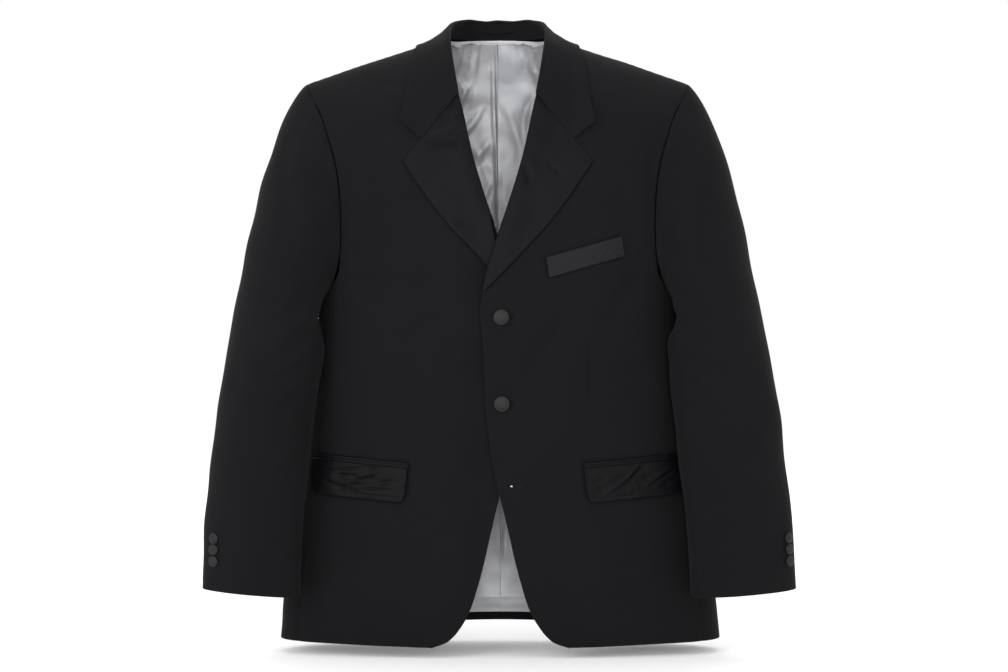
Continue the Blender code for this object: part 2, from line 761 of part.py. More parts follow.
def make_stand(wool, collection):
    """The inside band between the neck seam and the fold."""
    rows = 16
    columns = 3

    def place(i, j):
        position = mix(-STAND_REACH, STAND_REACH, j / rows)
        fold, _, up, away = collar_directions(position)
        _, _, neck = collar_frame(position)
        lip = fold - up * (FOLD_RADIUS + 4 * SEAM_GAP) - away * FOLD_RADIUS
        return neck.lerp(lip, i / columns)

    inward = lambda point: Vector((-point.x, -point.y, 0))
    return grid_object("collar_stand", columns, rows, place, inward, LINING, wool, collection)


def make_lining(side_name, silk, collection):
    """The back lining, inside the back and shorter than it at the hem."""
    side = SIDES[side_name]
    rows = panel_rows()[2:-1]
    columns = BACK_COLUMNS

    def place(i, j):
        x, z = panel_place(*rows[j], i / columns, 1)
        return body_point(side, max(x, LINING_SPLIT), z, 1)

    name = "lining_" + side_name
    inside = -CLOTH - LINING_GAP
    count = len(rows) - 1
    return grid_object(
        name, columns, count, place, from_axis, LINING, silk, collection, inside
    )


def pocket_top(side_name, x):
    return POCKET_TOP + POCKET_RISE * (x - POCKET_INNER[side_name])


def make_flap(side_name, satin, collection):
    side = SIDES[side_name]
    columns, rows = 14, 6
    lift = LYING_GAP + SATIN
    inner = POCKET_INNER[side_name]

    def place(i, j):
        along, down = i / columns, j / rows
        x = mix(inner + FLAP_LEAN * down, POCKET_OUTER, along)
        corner = max(0.0, 1 - along * (POCKET_OUTER - inner) / FLAP_CORNER)
        depth = FLAP_DEPTH - FLAP_CORNER * (1 - math.sqrt(1 - corner * corner))
        z = pocket_top(side_name, x) - down * depth
        crease = 0.0
        for row in FLAP_CREASES[side_name]:
            crease += fold_depth([row], along, down)
        return on_front(side, x, z, lift + FLAP_SWELL * math.sin(math.pi * down / 1.6) - crease)

    name = "pocket_flap_" + side_name
    return grid_object(name, columns, rows, place, from_axis, SATIN, satin, collection)


def make_jet(side_name, satin, collection):
    side = SIDES[side_name]
    columns = 14
    lift = LYING_GAP + SATIN

    def place(i, j):
        x = mix(POCKET_INNER[side_name], POCKET_OUTER, i / columns)
        return on_front(side, x, pocket_top(side_name, x) + SEAM_GAP + j * JET_HEIGHT, lift)

    name = "pocket_jet_" + side_name
    return grid_object(name, columns, 1, place, from_axis, SATIN, satin, collection)


def make_welt(satin, collection):
    columns, rows = 8, 2
    lift = LYING_GAP + SATIN

    def place(i, j):
        x = WELT_LEFT[0] + i / columns * WELT_LENGTH
        z = WELT_LEFT[1] + i / columns * WELT_LENGTH * WELT_RISE + j / rows * WELT_HEIGHT
        return on_front(1, x - WELT_LEAN * (j / rows), z, lift)

    return grid_object("chest_welt", columns, rows, place, from_axis, SATIN, satin, collection)


def make_button(name, radius, place, normal, material, collection):
    """A covered button: a profile turned round its own axis, then turned to face outwards."""
    profile = (
        (0.0, 0.0),
        (0.62, 0.0),
        (0.92, 0.10),
        (1.0, 0.26),
        (0.93, 0.42),
        (0.62, 0.56),
        (0.0, 0.62),
    )
    mesh = bpy.data.meshes.new(name)
    bm = bmesh.new()
    verts = [bm.verts.new((r * radius, 0, h * radius)) for r, h in profile]
    edges = [bm.edges.new(pair) for pair in zip(verts, verts[1:])]
    bmesh.ops.spin(
        bm,
        geom=verts + edges,
        cent=(0, 0, 0),
        axis=(0, 0, 1),
        angle=2 * math.pi,
        steps=14,
        use_merge=True,
    )
    bmesh.ops.remove_doubles(bm, verts=bm.verts, dist=1e-5)
    bmesh.ops.recalc_face_normals(bm, faces=bm.faces)
    turn = Vector((0, 0, 1)).rotation_difference(normal)
    for vert in bm.verts:
        vert.co = turn @ vert.co + place
    for face in bm.faces:
        face.smooth = True
    bm.to_mesh(mesh)
    bm.free()
    obj = bpy.data.objects.new(name, mesh)
    collection.objects.link(obj)
    mesh.materials.append(material)
    return obj


def make_front_buttons(material, collection):
    for level, z in FRONT_BUTTONS.items():
        seat = on_front(1, BUTTON_X, z, BUTTON_SEAT)
        normal = (on_front(1, BUTTON_X, z, 0.01) - seat).normalized()
        make_button(
            "front_button_" + level, FRONT_BUTTON_RADIUS, seat, normal, material, collection
        )


def make_cuff_buttons(side_name, material, collection):
    side = SIDES[side_name]
    for number, z in enumerate(CUFF_BUTTONS, 1):
        angle = CUFF_BUTTON_ANGLE[side_name]
        surface = lambda a, b: sleeve_section(side_name, a * 100, b)
        normal = normal_at(surface, angle / 100, z, Vector((side, -1, 0)))
        seat = surface(angle / 100, z) + normal * SEAM_GAP
        name = f"cuff_button_{side_name}_{number}"
        make_button(name, CUFF_BUTTON_RADIUS, seat, normal, material, collection)


def make_material(name, colour, roughness):
    material = bpy.data.materials.new(name)
    material.use_nodes = True
    shader = material.node_tree.nodes["Principled BSDF"]
    shader.inputs["Base Color"].default_value = (*colour, 1)
    shader.inputs["Roughness"].default_value = roughness
    shader.inputs["Metallic"].default_value = 0
    return material


def main():
    for obj in list(bpy.data.objects):
        bpy.data.objects.remove(obj)
    jacket = bpy.data.collections.new("tuxedo_jacket")
    bpy.context.scene.collection.children.link(jacket)
    wool = make_material("black_wool", (0.014, 0.014, 0.016), 0.85)
    satin = make_material("black_satin", (0.020, 0.020, 0.022), 0.42)
    silk = make_material("silver_lining", (0.33, 0.33, 0.35), 0.45)
    covered = make_material("covered_button", (0.042, 0.042, 0.045), 0.50)
    for side_name in SIDES:
        make_front(side_name, wool, jacket)
        make_side_panel(side_name, wool, jacket)
        make_back(side_name, wool, jacket)
        make_sleeve(side_name, wool, jacket)
        make_lapel(side_name, satin, jacket)
        make_lining(side_name, silk, jacket)
        make_flap(side_name, satin, jacket)
        make_jet(side_name, satin, jacket)
        make_cuff_buttons(side_name, covered, jacket)
    make_collar(wool, jacket)
    make_stand(wool, jacket)
    make_welt(satin, jacket)
    make_front_buttons(covered, jacket)


main()
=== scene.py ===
"""A tuxedo jacket, filled out as if worn with nobody inside: its cloth, sewing and finish.

Metres, +Z up. The front faces -Y, the wearer's left side is +X, and the origin is at the neck.
The forms are those of the solids: the body is built from sections at several heights, each sleeve
hangs from its armhole, and whatever lies on a panel is made from that panel's points.
"""

import math
from collections import namedtuple

import bpy
import numpy as np
from mathutils import Matrix, Vector


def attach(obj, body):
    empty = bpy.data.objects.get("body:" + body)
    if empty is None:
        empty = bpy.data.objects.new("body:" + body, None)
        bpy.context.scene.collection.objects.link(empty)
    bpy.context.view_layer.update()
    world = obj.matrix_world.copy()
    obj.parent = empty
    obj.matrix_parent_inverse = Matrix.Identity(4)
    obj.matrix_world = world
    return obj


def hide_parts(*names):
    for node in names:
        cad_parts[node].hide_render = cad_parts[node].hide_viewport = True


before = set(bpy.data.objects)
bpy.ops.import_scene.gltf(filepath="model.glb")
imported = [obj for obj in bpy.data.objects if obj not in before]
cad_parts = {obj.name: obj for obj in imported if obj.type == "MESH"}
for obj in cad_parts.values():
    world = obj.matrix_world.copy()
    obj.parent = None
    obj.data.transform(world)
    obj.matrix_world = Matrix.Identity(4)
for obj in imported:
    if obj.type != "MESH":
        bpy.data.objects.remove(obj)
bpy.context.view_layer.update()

bl_info = {
    "name": "Tuxedo jacket",
    "version": (1, 0, 0),
    "blender": (4, 5, 0),
    "location": "View3D > Sidebar > Jacket",
    "description": "Makes the cloth, sewing, buttons and finish of a tuxedo jacket on its solids",
    "category": "Object",
}

CLOTH = 0.0020
SATIN = 0.0014
LINING = 0.0010
SEAM_GAP = 0.0003
LYING_GAP = 0.0011
LINING_GAP = 0.0008

NECK_HALF = 0.070
NECK_POINT_HEIGHT = 0.010
NECK_BACK_DEPTH = 0.068
NECK_BACK_HEIGHT = 0.018
NECK_POWER = 2.2
SHOULDER_SLOPE = 0.335
SHOULDER_HALF = 0.250
SHOULDER_ROUND = 0.090
HEM = -0.779
HEM_SWAY = 0.0035
HEM_REACH = 0.290
HEM_FRONT_DIP = 0.005
HEM_BACK_RISE = 0.011
UNDERARM = -0.322
SIDE_SEAM = 0.905
OVERLAP_DROP = 0.0065
OVERLAP_FROM = 0.015
OVERLAP_TO = 0.055
SECTION_POWER = 2.3
SLEEVE_START = -0.400
SLEEVE_CLEARANCE = 0.005
PUSH_BELOW = -0.310

BodyRow = namedtuple("BodyRow", "height half_width front_depth back_depth")
BODY = (
    BodyRow(-0.785, 0.2905, 0.080, 0.080),
    BodyRow(-0.700, 0.283, 0.086, 0.082),
    BodyRow(-0.600, 0.268, 0.091, 0.082),
    BodyRow(-0.500, 0.254, 0.095, 0.078),
    BodyRow(-0.430, 0.246, 0.099, 0.077),
    BodyRow(-0.335, 0.239, 0.107, 0.090),
    BodyRow(-0.270, 0.240, 0.107, 0.100),
    BodyRow(-0.200, 0.248, 0.101, 0.104),
    BodyRow(-0.150, 0.262, 0.093, 0.102),
    BodyRow(-0.100, 0.285, 0.083, 0.097),
    BodyRow(-0.050, 0.300, 0.073, 0.090),
    BodyRow(0.020, 0.305, 0.066, 0.082),
)

# The free edge of each front, measured from the centre towards its own side
EdgeRow = namedtuple("EdgeRow", "height from_centre")
FRONT_EDGE = (
    EdgeRow(-0.784, 0.091),
    EdgeRow(-0.776, 0.069),
    EdgeRow(-0.758, 0.052),
    EdgeRow(-0.733, 0.038),
    EdgeRow(-0.667, 0.019),
    EdgeRow(-0.615, 0.0075),
    EdgeRow(-0.580, -0.001),
    EdgeRow(-0.530, -0.0105),
    EdgeRow(-0.462, -0.0173),
    EdgeRow(-0.406, -0.0187),
    EdgeRow(-0.343, -0.0233),
    EdgeRow(-0.327, -0.0195),
    EdgeRow(-0.299, -0.013),
    EdgeRow(-0.250, 0.003),
    EdgeRow(-0.159, 0.032),
    EdgeRow(-0.073, 0.0515),
    EdgeRow(-0.045, 0.0605),
    EdgeRow(-0.020, 0.0665),
    EdgeRow(0.010, 0.0705),
)

ArmholeRow = namedtuple("ArmholeRow", "height front back")
ARMHOLE = (
    ArmholeRow(-0.322, 0.214, 0.214),
    ArmholeRow(-0.296, 0.2055, 0.208),
    ArmholeRow(-0.248, 0.202, 0.205),
    ArmholeRow(-0.208, 0.203, 0.206),
    ArmholeRow(-0.167, 0.208, 0.210),
    ArmholeRow(-0.129, 0.218, 0.219),
    ArmholeRow(-0.094, 0.230, 0.231),
    ArmholeRow(-0.066, 0.245, 0.245),
    ArmholeRow(-0.050, 0.250, 0.250),
)
ARMHOLE_DROP = 0.016
ARMHOLE_GAP = 0.0008

SleeveRow = namedtuple("SleeveRow", "height outer inner forward half_depth")
SLEEVES = {
    "right": (
        SleeveRow(-0.400, 0.349, 0.2225, 0.052, 0.057),
        SleeveRow(-0.476, 0.360, 0.234, 0.064, 0.050),
        SleeveRow(-0.575, 0.3703, 0.2445, 0.076, 0.042),
        SleeveRow(-0.638, 0.3756, 0.250, 0.079, 0.036),
        SleeveRow(-0.720, 0.3772, 0.252, 0.078, 0.031),
    ),
    "left": (
        SleeveRow(-0.400, 0.350, 0.216, 0.052, 0.057),
        SleeveRow(-0.476, 0.3625, 0.226, 0.064, 0.050),
        SleeveRow(-0.575, 0.373, 0.237, 0.076, 0.042),
        SleeveRow(-0.638, 0.379, 0.243, 0.079, 0.037),
        SleeveRow(-0.720, 0.3828, 0.2485, 0.078, 0.034),
    ),
}
CUFF_OUTER = -0.7055
CUFF_INNER = -0.7165

# Angles round a sleeve: 0 is its outer edge, 90 its front, 180 its inner edge and 270 its back
HINDARM_AT_ARMHOLE = 300
HINDARM_AT_CUFF = 352
FOREARM_SEAM = 187
SLEEVE_SHOWN = (20, 160)

# How the sleeve leaves the armhole, as shares of its own direction, and how strongly
HEAD_MIDDLE = -0.190
LEAVE_OUT = 0.80
LEAVE_ROUND = 0.45
LEAVE_DOWN = 0.20
LEAVE_FALL = 0.50
LEAVE_STRENGTH = 0.56
HANG_STRENGTH = 0.90
HANG_STEP = 0.020

# Half of the collar, from the centre of the back to its front end
CollarRow = namedtuple("CollarRow", "fold_x fold_y fold_z edge_x edge_y edge_z neck_x neck_y neck_z")
COLLAR = (
    CollarRow(0.000, 0.072, 0.0445, 0.000, 0.086, -0.004, 0.000, 0.068, 0.019),
    CollarRow(0.020, 0.070, 0.0445, 0.030, 0.084, -0.004, 0.024, 0.066, 0.0185),
    CollarRow(0.040, 0.060, 0.044, 0.060, 0.072, -0.004, 0.046, 0.054, 0.0175),
    CollarRow(0.0535, 0.042, 0.040, 0.084, 0.048, -0.003, 0.0605, 0.036, 0.016),
    CollarRow(0.0615, 0.018, 0.0335, 0.099, 0.020, -0.001, 0.068, 0.015, 0.0135),
    CollarRow(0.0645, -0.008, 0.0215, 0.1055, -0.006, -0.003, 0.070, -0.008, 0.010),
    CollarRow(0.0638, -0.036, 0.003, 0.1095, -0.034, -0.024, 0.0662, -0.041, -0.010),
    CollarRow(0.0603, -0.058, -0.024, 0.115, -0.060, -0.055, 0.0606, -0.060, -0.037),
    CollarRow(0.056, -0.0725, -0.050, 0.1195, -0.082, -0.085, 0.0545, -0.070, -0.057),
    CollarRow(0.052, -0.082, -0.0735, 0.1235, -0.092, -0.109, 0.051, -0.076, -0.070),
)
FOLD_RADIUS = 0.0030
NOTCH_ACROSS = 0.62
NOTCH_X = 0.0965
NOTCH_Z = -0.129
GORGE_TOP = -0.0745
LAPEL_END = -0.327
LapelRow = namedtuple("LapelRow", "height outer")
LAPEL_EDGE = (
    LapelRow(-0.327, -0.0195),
    LapelRow(-0.283, 0.0235),
    LapelRow(-0.228, 0.073),
    LapelRow(-0.160, 0.1205),
)

POCKET_INNER = {"left": 0.1083, "right": 0.1180}
POCKET_OUTER = 0.2420
POCKET_TOP = -0.5525
POCKET_RISE = 0.087
FLAP_DEPTH = 0.0435
FLAP_LEAN = 0.0030
FLAP_CORNER = 0.011
FLAP_SWELL = 0.003
JET_HEIGHT = 0.0075

WELT_LEFT = (0.0645, -0.3084)
WELT_LENGTH = 0.0955
WELT_RISE = 0.290
WELT_HEIGHT = 0.0245
WELT_LEAN = 0.0032

BUTTON_X = 0.0034
FRONT_BUTTONS = {"upper": -0.359, "lower": -0.469}
BUTTON_SEAT = 0.0001
FRONT_BUTTON_RADIUS = 0.0101
CUFF_BUTTON_RADIUS = 0.0071
CUFF_BUTTONS = (-0.6395, -0.6539, -0.6688)
CUFF_BUTTON_ANGLE = {"right": 43, "left": 31}

# Soft hollows of the fronts and sleeves, seen from the front
FoldRow = namedtuple("FoldRow", "from_x from_z to_x to_z width depth")
FOLDS = {
    "left": (
        FoldRow(0.095, -0.345, 0.030, -0.445, 0.016, 0.0035),
        FoldRow(0.150, -0.150, 0.175, -0.300, 0.022, 0.004),
        FoldRow(0.268, -0.130, 0.262, -0.330, 0.009, 0.0045),
        FoldRow(0.300, -0.390, 0.262, -0.450, 0.014, 0.0035),
        FoldRow(0.330, -0.610, 0.270, -0.640, 0.012, 0.0025),
    ),
    "right": (
        FoldRow(0.160, -0.150, 0.180, -0.300, 0.022, 0.0035),
        FoldRow(0.060, -0.350, 0.150, -0.400, 0.018, 0.0025),
        FoldRow(0.276, -0.120, 0.266, -0.280, 0.011, 0.0035),
        FoldRow(0.310, -0.400, 0.258, -0.450, 0.015, 0.003),
    ),
}

# Creases of a flap: along it from its inner end and down it from its top, as shares
CreaseRow = namedtuple("CreaseRow", "from_along from_down to_along to_down width depth")
FLAP_CREASES = {
    "right": (
        CreaseRow(0.05, 0.42, 0.62, 0.50, 0.09, 0.0016),
        CreaseRow(0.25, 0.70, 0.80, 0.30, 0.08, 0.0016),
        CreaseRow(0.45, 0.90, 0.95, 0.62, 0.09, 0.0014),
    ),
    "left": (
        CreaseRow(0.10, 0.85, 0.50, 0.15, 0.10, 0.0018),
        CreaseRow(0.35, 0.90, 0.80, 0.20, 0.10, 0.0018),
        CreaseRow(0.70, 0.75, 0.98, 0.40, 0.09, 0.0012),
    ),
}

SIDES = {"left": 1, "right": -1}

# Creases in the front view, measured towards their own side: half width, depth in, how sharp, and bow
Crease = namedtuple("Crease", "from_x from_z to_x to_z width depth sharp bow")
FRONT_CREASES = {
    "left": (
        Crease(0.1135, -0.352, 0.1205, -0.536, 0.0026, 0.001, 0.4, 0.0),
        Crease(0.115, -0.38, 0.1205, -0.52, 0.016, 0.0016, 0.0, 0.0),
        Crease(0.094, -0.338, 0.031, -0.432, 0.015, 0.0022, 0.0, 0.1),
        Crease(0.085, -0.372, 0.025, -0.392, 0.007, 0.0008, 0.1, 0.06),
        Crease(0.03, -0.372, 0.075, -0.41, 0.006, 0.0008, 0.2, -0.05),
        Crease(0.022, -0.478, 0.09, -0.505, 0.011, 0.001, 0.1, 0.08),
        Crease(0.19, -0.3, 0.142, -0.392, 0.012, 0.002, 0.1, -0.12),
        Crease(0.202, -0.262, 0.172, -0.33, 0.008, 0.0014, 0.1, -0.14),
        Crease(0.196, -0.118, 0.206, -0.245, 0.01, 0.0018, 0.1, 0.05),
        Crease(0.213, -0.395, 0.165, -0.435, 0.013, 0.0012, 0.0, 0.1),
        Crease(0.06, -0.61, 0.11, -0.745, 0.02, 0.0018, 0.0, 0.05),
        Crease(0.175, -0.625, 0.168, -0.77, 0.018, 0.0016, 0.0, -0.04),
        Crease(0.11, -0.05, 0.17, -0.074, 0.009, 0.001, 0.0, 0.1),
    ),
    "right": (
        Crease(0.1159, -0.356, 0.1227, -0.54, 0.0026, 0.001, 0.4, 0.0),
        Crease(0.118, -0.385, 0.123, -0.525, 0.015, 0.0014, 0.0, 0.0),
        Crease(0.038, -0.352, 0.102, -0.388, 0.011, 0.0014, 0.1, 0.08),
        Crease(0.03, -0.4, 0.088, -0.396, 0.008, 0.0009, 0.1, -0.06),
        Crease(0.026, -0.5, 0.082, -0.474, 0.012, 0.001, 0.0, 0.06),
        Crease(0.188, -0.296, 0.15, -0.372, 0.011, 0.0018, 0.1, -0.1),
        Crease(0.203, -0.252, 0.18, -0.318, 0.008, 0.0012, 0.1, -0.12),
        Crease(0.194, -0.125, 0.204, -0.23, 0.011, 0.0016, 0.1, 0.05),
        Crease(0.211, -0.402, 0.16, -0.452, 0.014, 0.0013, 0.0, 0.08),
        Crease(0.07, -0.62, 0.12, -0.75, 0.019, 0.0015, 0.0, -0.05),
        Crease(0.186, -0.63, 0.174, -0.765, 0.017, 0.0014, 0.0, 0.04),
        Crease(0.115, -0.052, 0.175, -0.078, 0.009, 0.001, 0.0, 0.08),
    ),
}
BACK_CREASES = {
    "left": (
        Crease(0.03, -0.052, 0.15, -0.092, 0.014, 0.0018, 0.0, 0.08),
        Crease(0.196, -0.118, 0.176, -0.3, 0.015, 0.0026, 0.1, -0.06),
        Crease(0.2, -0.25, 0.13, -0.33, 0.013, 0.002, 0.1, -0.1),
        Crease(0.19, -0.31, 0.09, -0.372, 0.016, 0.002, 0.0, -0.08),
        Crease(0.15, -0.41, 0.04, -0.445, 0.018, 0.0022, 0.0, 0.07),
        Crease(0.17, -0.455, 0.07, -0.47, 0.013, 0.0014, 0.0, 0.08),
        Crease(0.1, -0.56, 0.125, -0.735, 0.022, 0.0022, 0.0, 0.04),
        Crease(0.185, -0.59, 0.195, -0.755, 0.019, 0.0018, 0.0, -0.03),
    ),
    "right": (
        Crease(0.025, -0.048, 0.14, -0.086, 0.015, 0.0016, 0.0, 0.06),
        Crease(0.198, -0.13, 0.18, -0.29, 0.014, 0.0024, 0.1, -0.05),
        Crease(0.196, -0.262, 0.12, -0.322, 0.015, 0.0018, 0.1, -0.12),
        Crease(0.185, -0.322, 0.1, -0.395, 0.015, 0.002, 0.0, -0.06),
        Crease(0.16, -0.42, 0.03, -0.436, 0.019, 0.002, 0.0, 0.06),
        Crease(0.155, -0.478, 0.08, -0.486, 0.012, 0.0012, 0.0, 0.05),
        Crease(0.09, -0.57, 0.11, -0.74, 0.021, 0.002, 0.0, -0.05),
        Crease(0.18, -0.6, 0.185, -0.76, 0.02, 0.0018, 0.0, 0.03),
    ),
}
# Creases of a side panel: round it from its front seam in metres, and height
SIDE_CREASES = {
    "left": (
        Crease(0.01, -0.35, 0.08, -0.39, 0.012, 0.0022, 0.1, 0.1),
        Crease(0.02, -0.4, 0.09, -0.425, 0.014, 0.0018, 0.0, 0.08),
        Crease(0.015, -0.47, 0.07, -0.455, 0.013, 0.0014, 0.0, -0.08),
        Crease(0.04, -0.6, 0.05, -0.745, 0.017, 0.0016, 0.0, 0.03),
    ),
    "right": (
        Crease(0.008, -0.345, 0.075, -0.378, 0.012, 0.002, 0.1, 0.12),
        Crease(0.015, -0.392, 0.085, -0.432, 0.015, 0.0018, 0.0, 0.06),
        Crease(0.03, -0.48, 0.085, -0.462, 0.012, 0.0014, 0.0, -0.06),
        Crease(0.05, -0.61, 0.042, -0.75, 0.016, 0.0016, 0.0, -0.03),
    ),
}
# Creases of a sleeve: angle round it in degrees, and height
SleeveCrease = namedtuple("SleeveCrease", "from_angle from_z to_angle to_z width depth sharp bow")
SLEEVE_CREASES = {
    "left": (
        SleeveCrease(118, -0.075, 112, -0.21, 0.009, -0.0024, 0.0, 0.02),
        SleeveCrease(100, -0.105, 116, -0.33, 0.008, 0.003, 0.1, 0.04),
        SleeveCrease(60, -0.09, 72, -0.24, 0.015, 0.0018, 0.0, 0.05),
        SleeveCrease(150, -0.3, 95, -0.372, 0.01, 0.0026, 0.2, -0.1),
        SleeveCrease(160, -0.352, 92, -0.412, 0.009, 0.003, 0.2, -0.12),
        SleeveCrease(164, -0.4, 100, -0.436, 0.008, 0.0024, 0.2, -0.1),
        SleeveCrease(168, -0.44, 108, -0.462, 0.009, 0.0026, 0.2, -0.08),
        SleeveCrease(166, -0.492, 90, -0.474, 0.011, 0.002, 0.1, -0.1),
        SleeveCrease(60, -0.42, 30, -0.52, 0.015, 0.0018, 0.0, 0.06),
        SleeveCrease(140, -0.56, 60, -0.59, 0.013, 0.0016, 0.0, 0.08),
        SleeveCrease(150, -0.62, 80, -0.652, 0.011, 0.0014, 0.1, 0.06),
        SleeveCrease(205, -0.33, 262, -0.395, 0.011, 0.0028, 0.1, 0.1),
        SleeveCrease(200, -0.392, 270, -0.438, 0.01, 0.003, 0.2, 0.1),
        SleeveCrease(204, -0.452, 282, -0.47, 0.011, 0.0026, 0.1, 0.08),
        SleeveCrease(210, -0.52, 290, -0.505, 0.013, 0.002, 0.0, 0.06),
        SleeveCrease(320, -0.12, 318, -0.29, 0.014, 0.0022, 0.0, -0.04),
    ),
    "right": (
        SleeveCrease(112, -0.09, 108, -0.198, 0.01, -0.0022, 0.0, 0.02),
        SleeveCrease(124, -0.125, 130, -0.29, 0.008, 0.0026, 0.1, 0.03),
        SleeveCrease(70, -0.085, 82, -0.22, 0.014, 0.0016, 0.0, 0.06),
        SleeveCrease(146, -0.31, 100, -0.366, 0.011, 0.0022, 0.1, -0.1),
        SleeveCrease(162, -0.36, 98, -0.42, 0.009, 0.0028, 0.2, -0.12),
        SleeveCrease(166, -0.412, 96, -0.446, 0.0085, 0.0026, 0.2, -0.08),
        SleeveCrease(165, -0.47, 104, -0.47, 0.01, 0.0022, 0.1, -0.1),
        SleeveCrease(56, -0.4, 34, -0.5, 0.016, 0.0016, 0.0, 0.05),
        SleeveCrease(148, -0.54, 70, -0.575, 0.013, 0.0015, 0.0, 0.08),
        SleeveCrease(140, -0.64, 90, -0.66, 0.011, 0.0012, 0.0, 0.06),
        SleeveCrease(206, -0.322, 255, -0.38, 0.012, 0.0026, 0.1, 0.1),
        SleeveCrease(202, -0.385, 268, -0.425, 0.01, 0.0028, 0.2, 0.12),
        SleeveCrease(206, -0.44, 286, -0.462, 0.011, 0.0024, 0.1, 0.06),
        SleeveCrease(212, -0.53, 285, -0.512, 0.013, 0.0018, 0.0, 0.06),
        SleeveCrease(316, -0.13, 320, -0.3, 0.015, 0.002, 0.0, -0.04),
    ),
}
# Creases of a lapel: along it from its lower end and across it from the roll, as shares
LAPEL_CREASES = {
    "left": (
        Crease(0.765, 0.45, 0.78, 0.7, 0.018, 0.0024, 0.6, 0.0),
        Crease(0.64, 0.02, 0.6, 0.3, 0.035, 0.004, 0.4, 0.0),
        Crease(0.82, 0.22, 0.9, 0.58, 0.04, 0.0008, 0.1, -0.06),
        Crease(0.2, 0.15, 0.36, 0.7, 0.08, 0.001, 0.0, 0.05),
    ),
    "right": (
        Crease(0.84, 0.04, 0.95, 0.6, 0.034, 0.0056, 0.4, 0.05),
        Crease(0.8, 0.1, 0.88, 0.4, 0.03, 0.0018, 0.3, 0.05),
        Crease(0.35, -0.02, 0.2, 0.12, 0.034, 0.0075, 0.3, 0.0),
        Crease(0.6, 0.25, 0.68, 0.72, 0.06, 0.0009, 0.0, 0.05),
        Crease(0.28, 0.12, 0.4, 0.66, 0.08, 0.0011, 0.0, -0.05),
        Crease(0.44, 0.4, 0.52, 0.88, 0.05, 0.0007, 0.1, 0.05),
    ),
}
# Small folds of a flap: along it from its inner end and down it from its top, in metres
FLAP_FOLDS = {
    "right": (
        Crease(0.032, 0.007, 0.062, 0.02, 0.0022, 0.0022, 0.6, 0.04),
        Crease(0.064, 0.022, 0.091, 0.035, 0.0023, 0.0023, 0.6, -0.04),
        Crease(0.028, 0.001, 0.058, 0.003, 0.002, 0.0012, 0.5, 0.03),
        Crease(0.054, 0.002, 0.112, 0.013, 0.0022, 0.0013, 0.5, 0.03),
        Crease(0.024, 0.029, 0.066, 0.033, 0.0024, 0.0021, 0.6, -0.03),
        Crease(0.02, 0.016, 0.05, 0.027, 0.0022, 0.0014, 0.5, 0.05),
        Crease(0.062, 0.015, 0.095, 0.019, 0.0021, 0.0014, 0.5, -0.04),
        Crease(0.09, 0.03, 0.116, 0.023, 0.0028, 0.001, 0.3, 0.05),
    ),
    "left": (
        Crease(0.026, 0.04, 0.082, 0.000, 0.0026, 0.0022, 0.5, 0.04),
        Crease(0.058, 0.037, 0.077, 0.03, 0.0024, 0.0016, 0.5, 0.05),
        Crease(0.079, 0.034, 0.122, 0.014, 0.0025, 0.0024, 0.6, -0.03),
        Crease(0.073, 0.006, 0.084, 0.013, 0.0018, 0.001, 0.6, 0.05),
        Crease(0.072, 0.017, 0.086, 0.022, 0.0018, 0.001, 0.6, -0.05),
        Crease(0.07, 0.026, 0.082, 0.029, 0.0018, 0.0009, 0.5, 0.05),
        Crease(0.092, 0.034, 0.12, 0.027, 0.0028, 0.001, 0.3, 0.05),
        Crease(0.004, 0.022, 0.03, 0.01, 0.003, 0.0008, 0.3, 0.04),
    ),
}
# Small folds of the chest welt: along it and up it, in metres
WELT_FOLDS = (
    Crease(0.07, 0.004, 0.092, 0.017, 0.0022, 0.0007, 0.5, 0.05),
    Crease(0.078, 0.002, 0.096, 0.01, 0.002, 0.0006, 0.5, 0.05),
    Crease(0.058, 0.006, 0.074, 0.018, 0.0026, 0.0005, 0.3, -0.05),
    Crease(0.01, 0.012, 0.05, 0.01, 0.005, 0.0004, 0.0, 0.05),
)
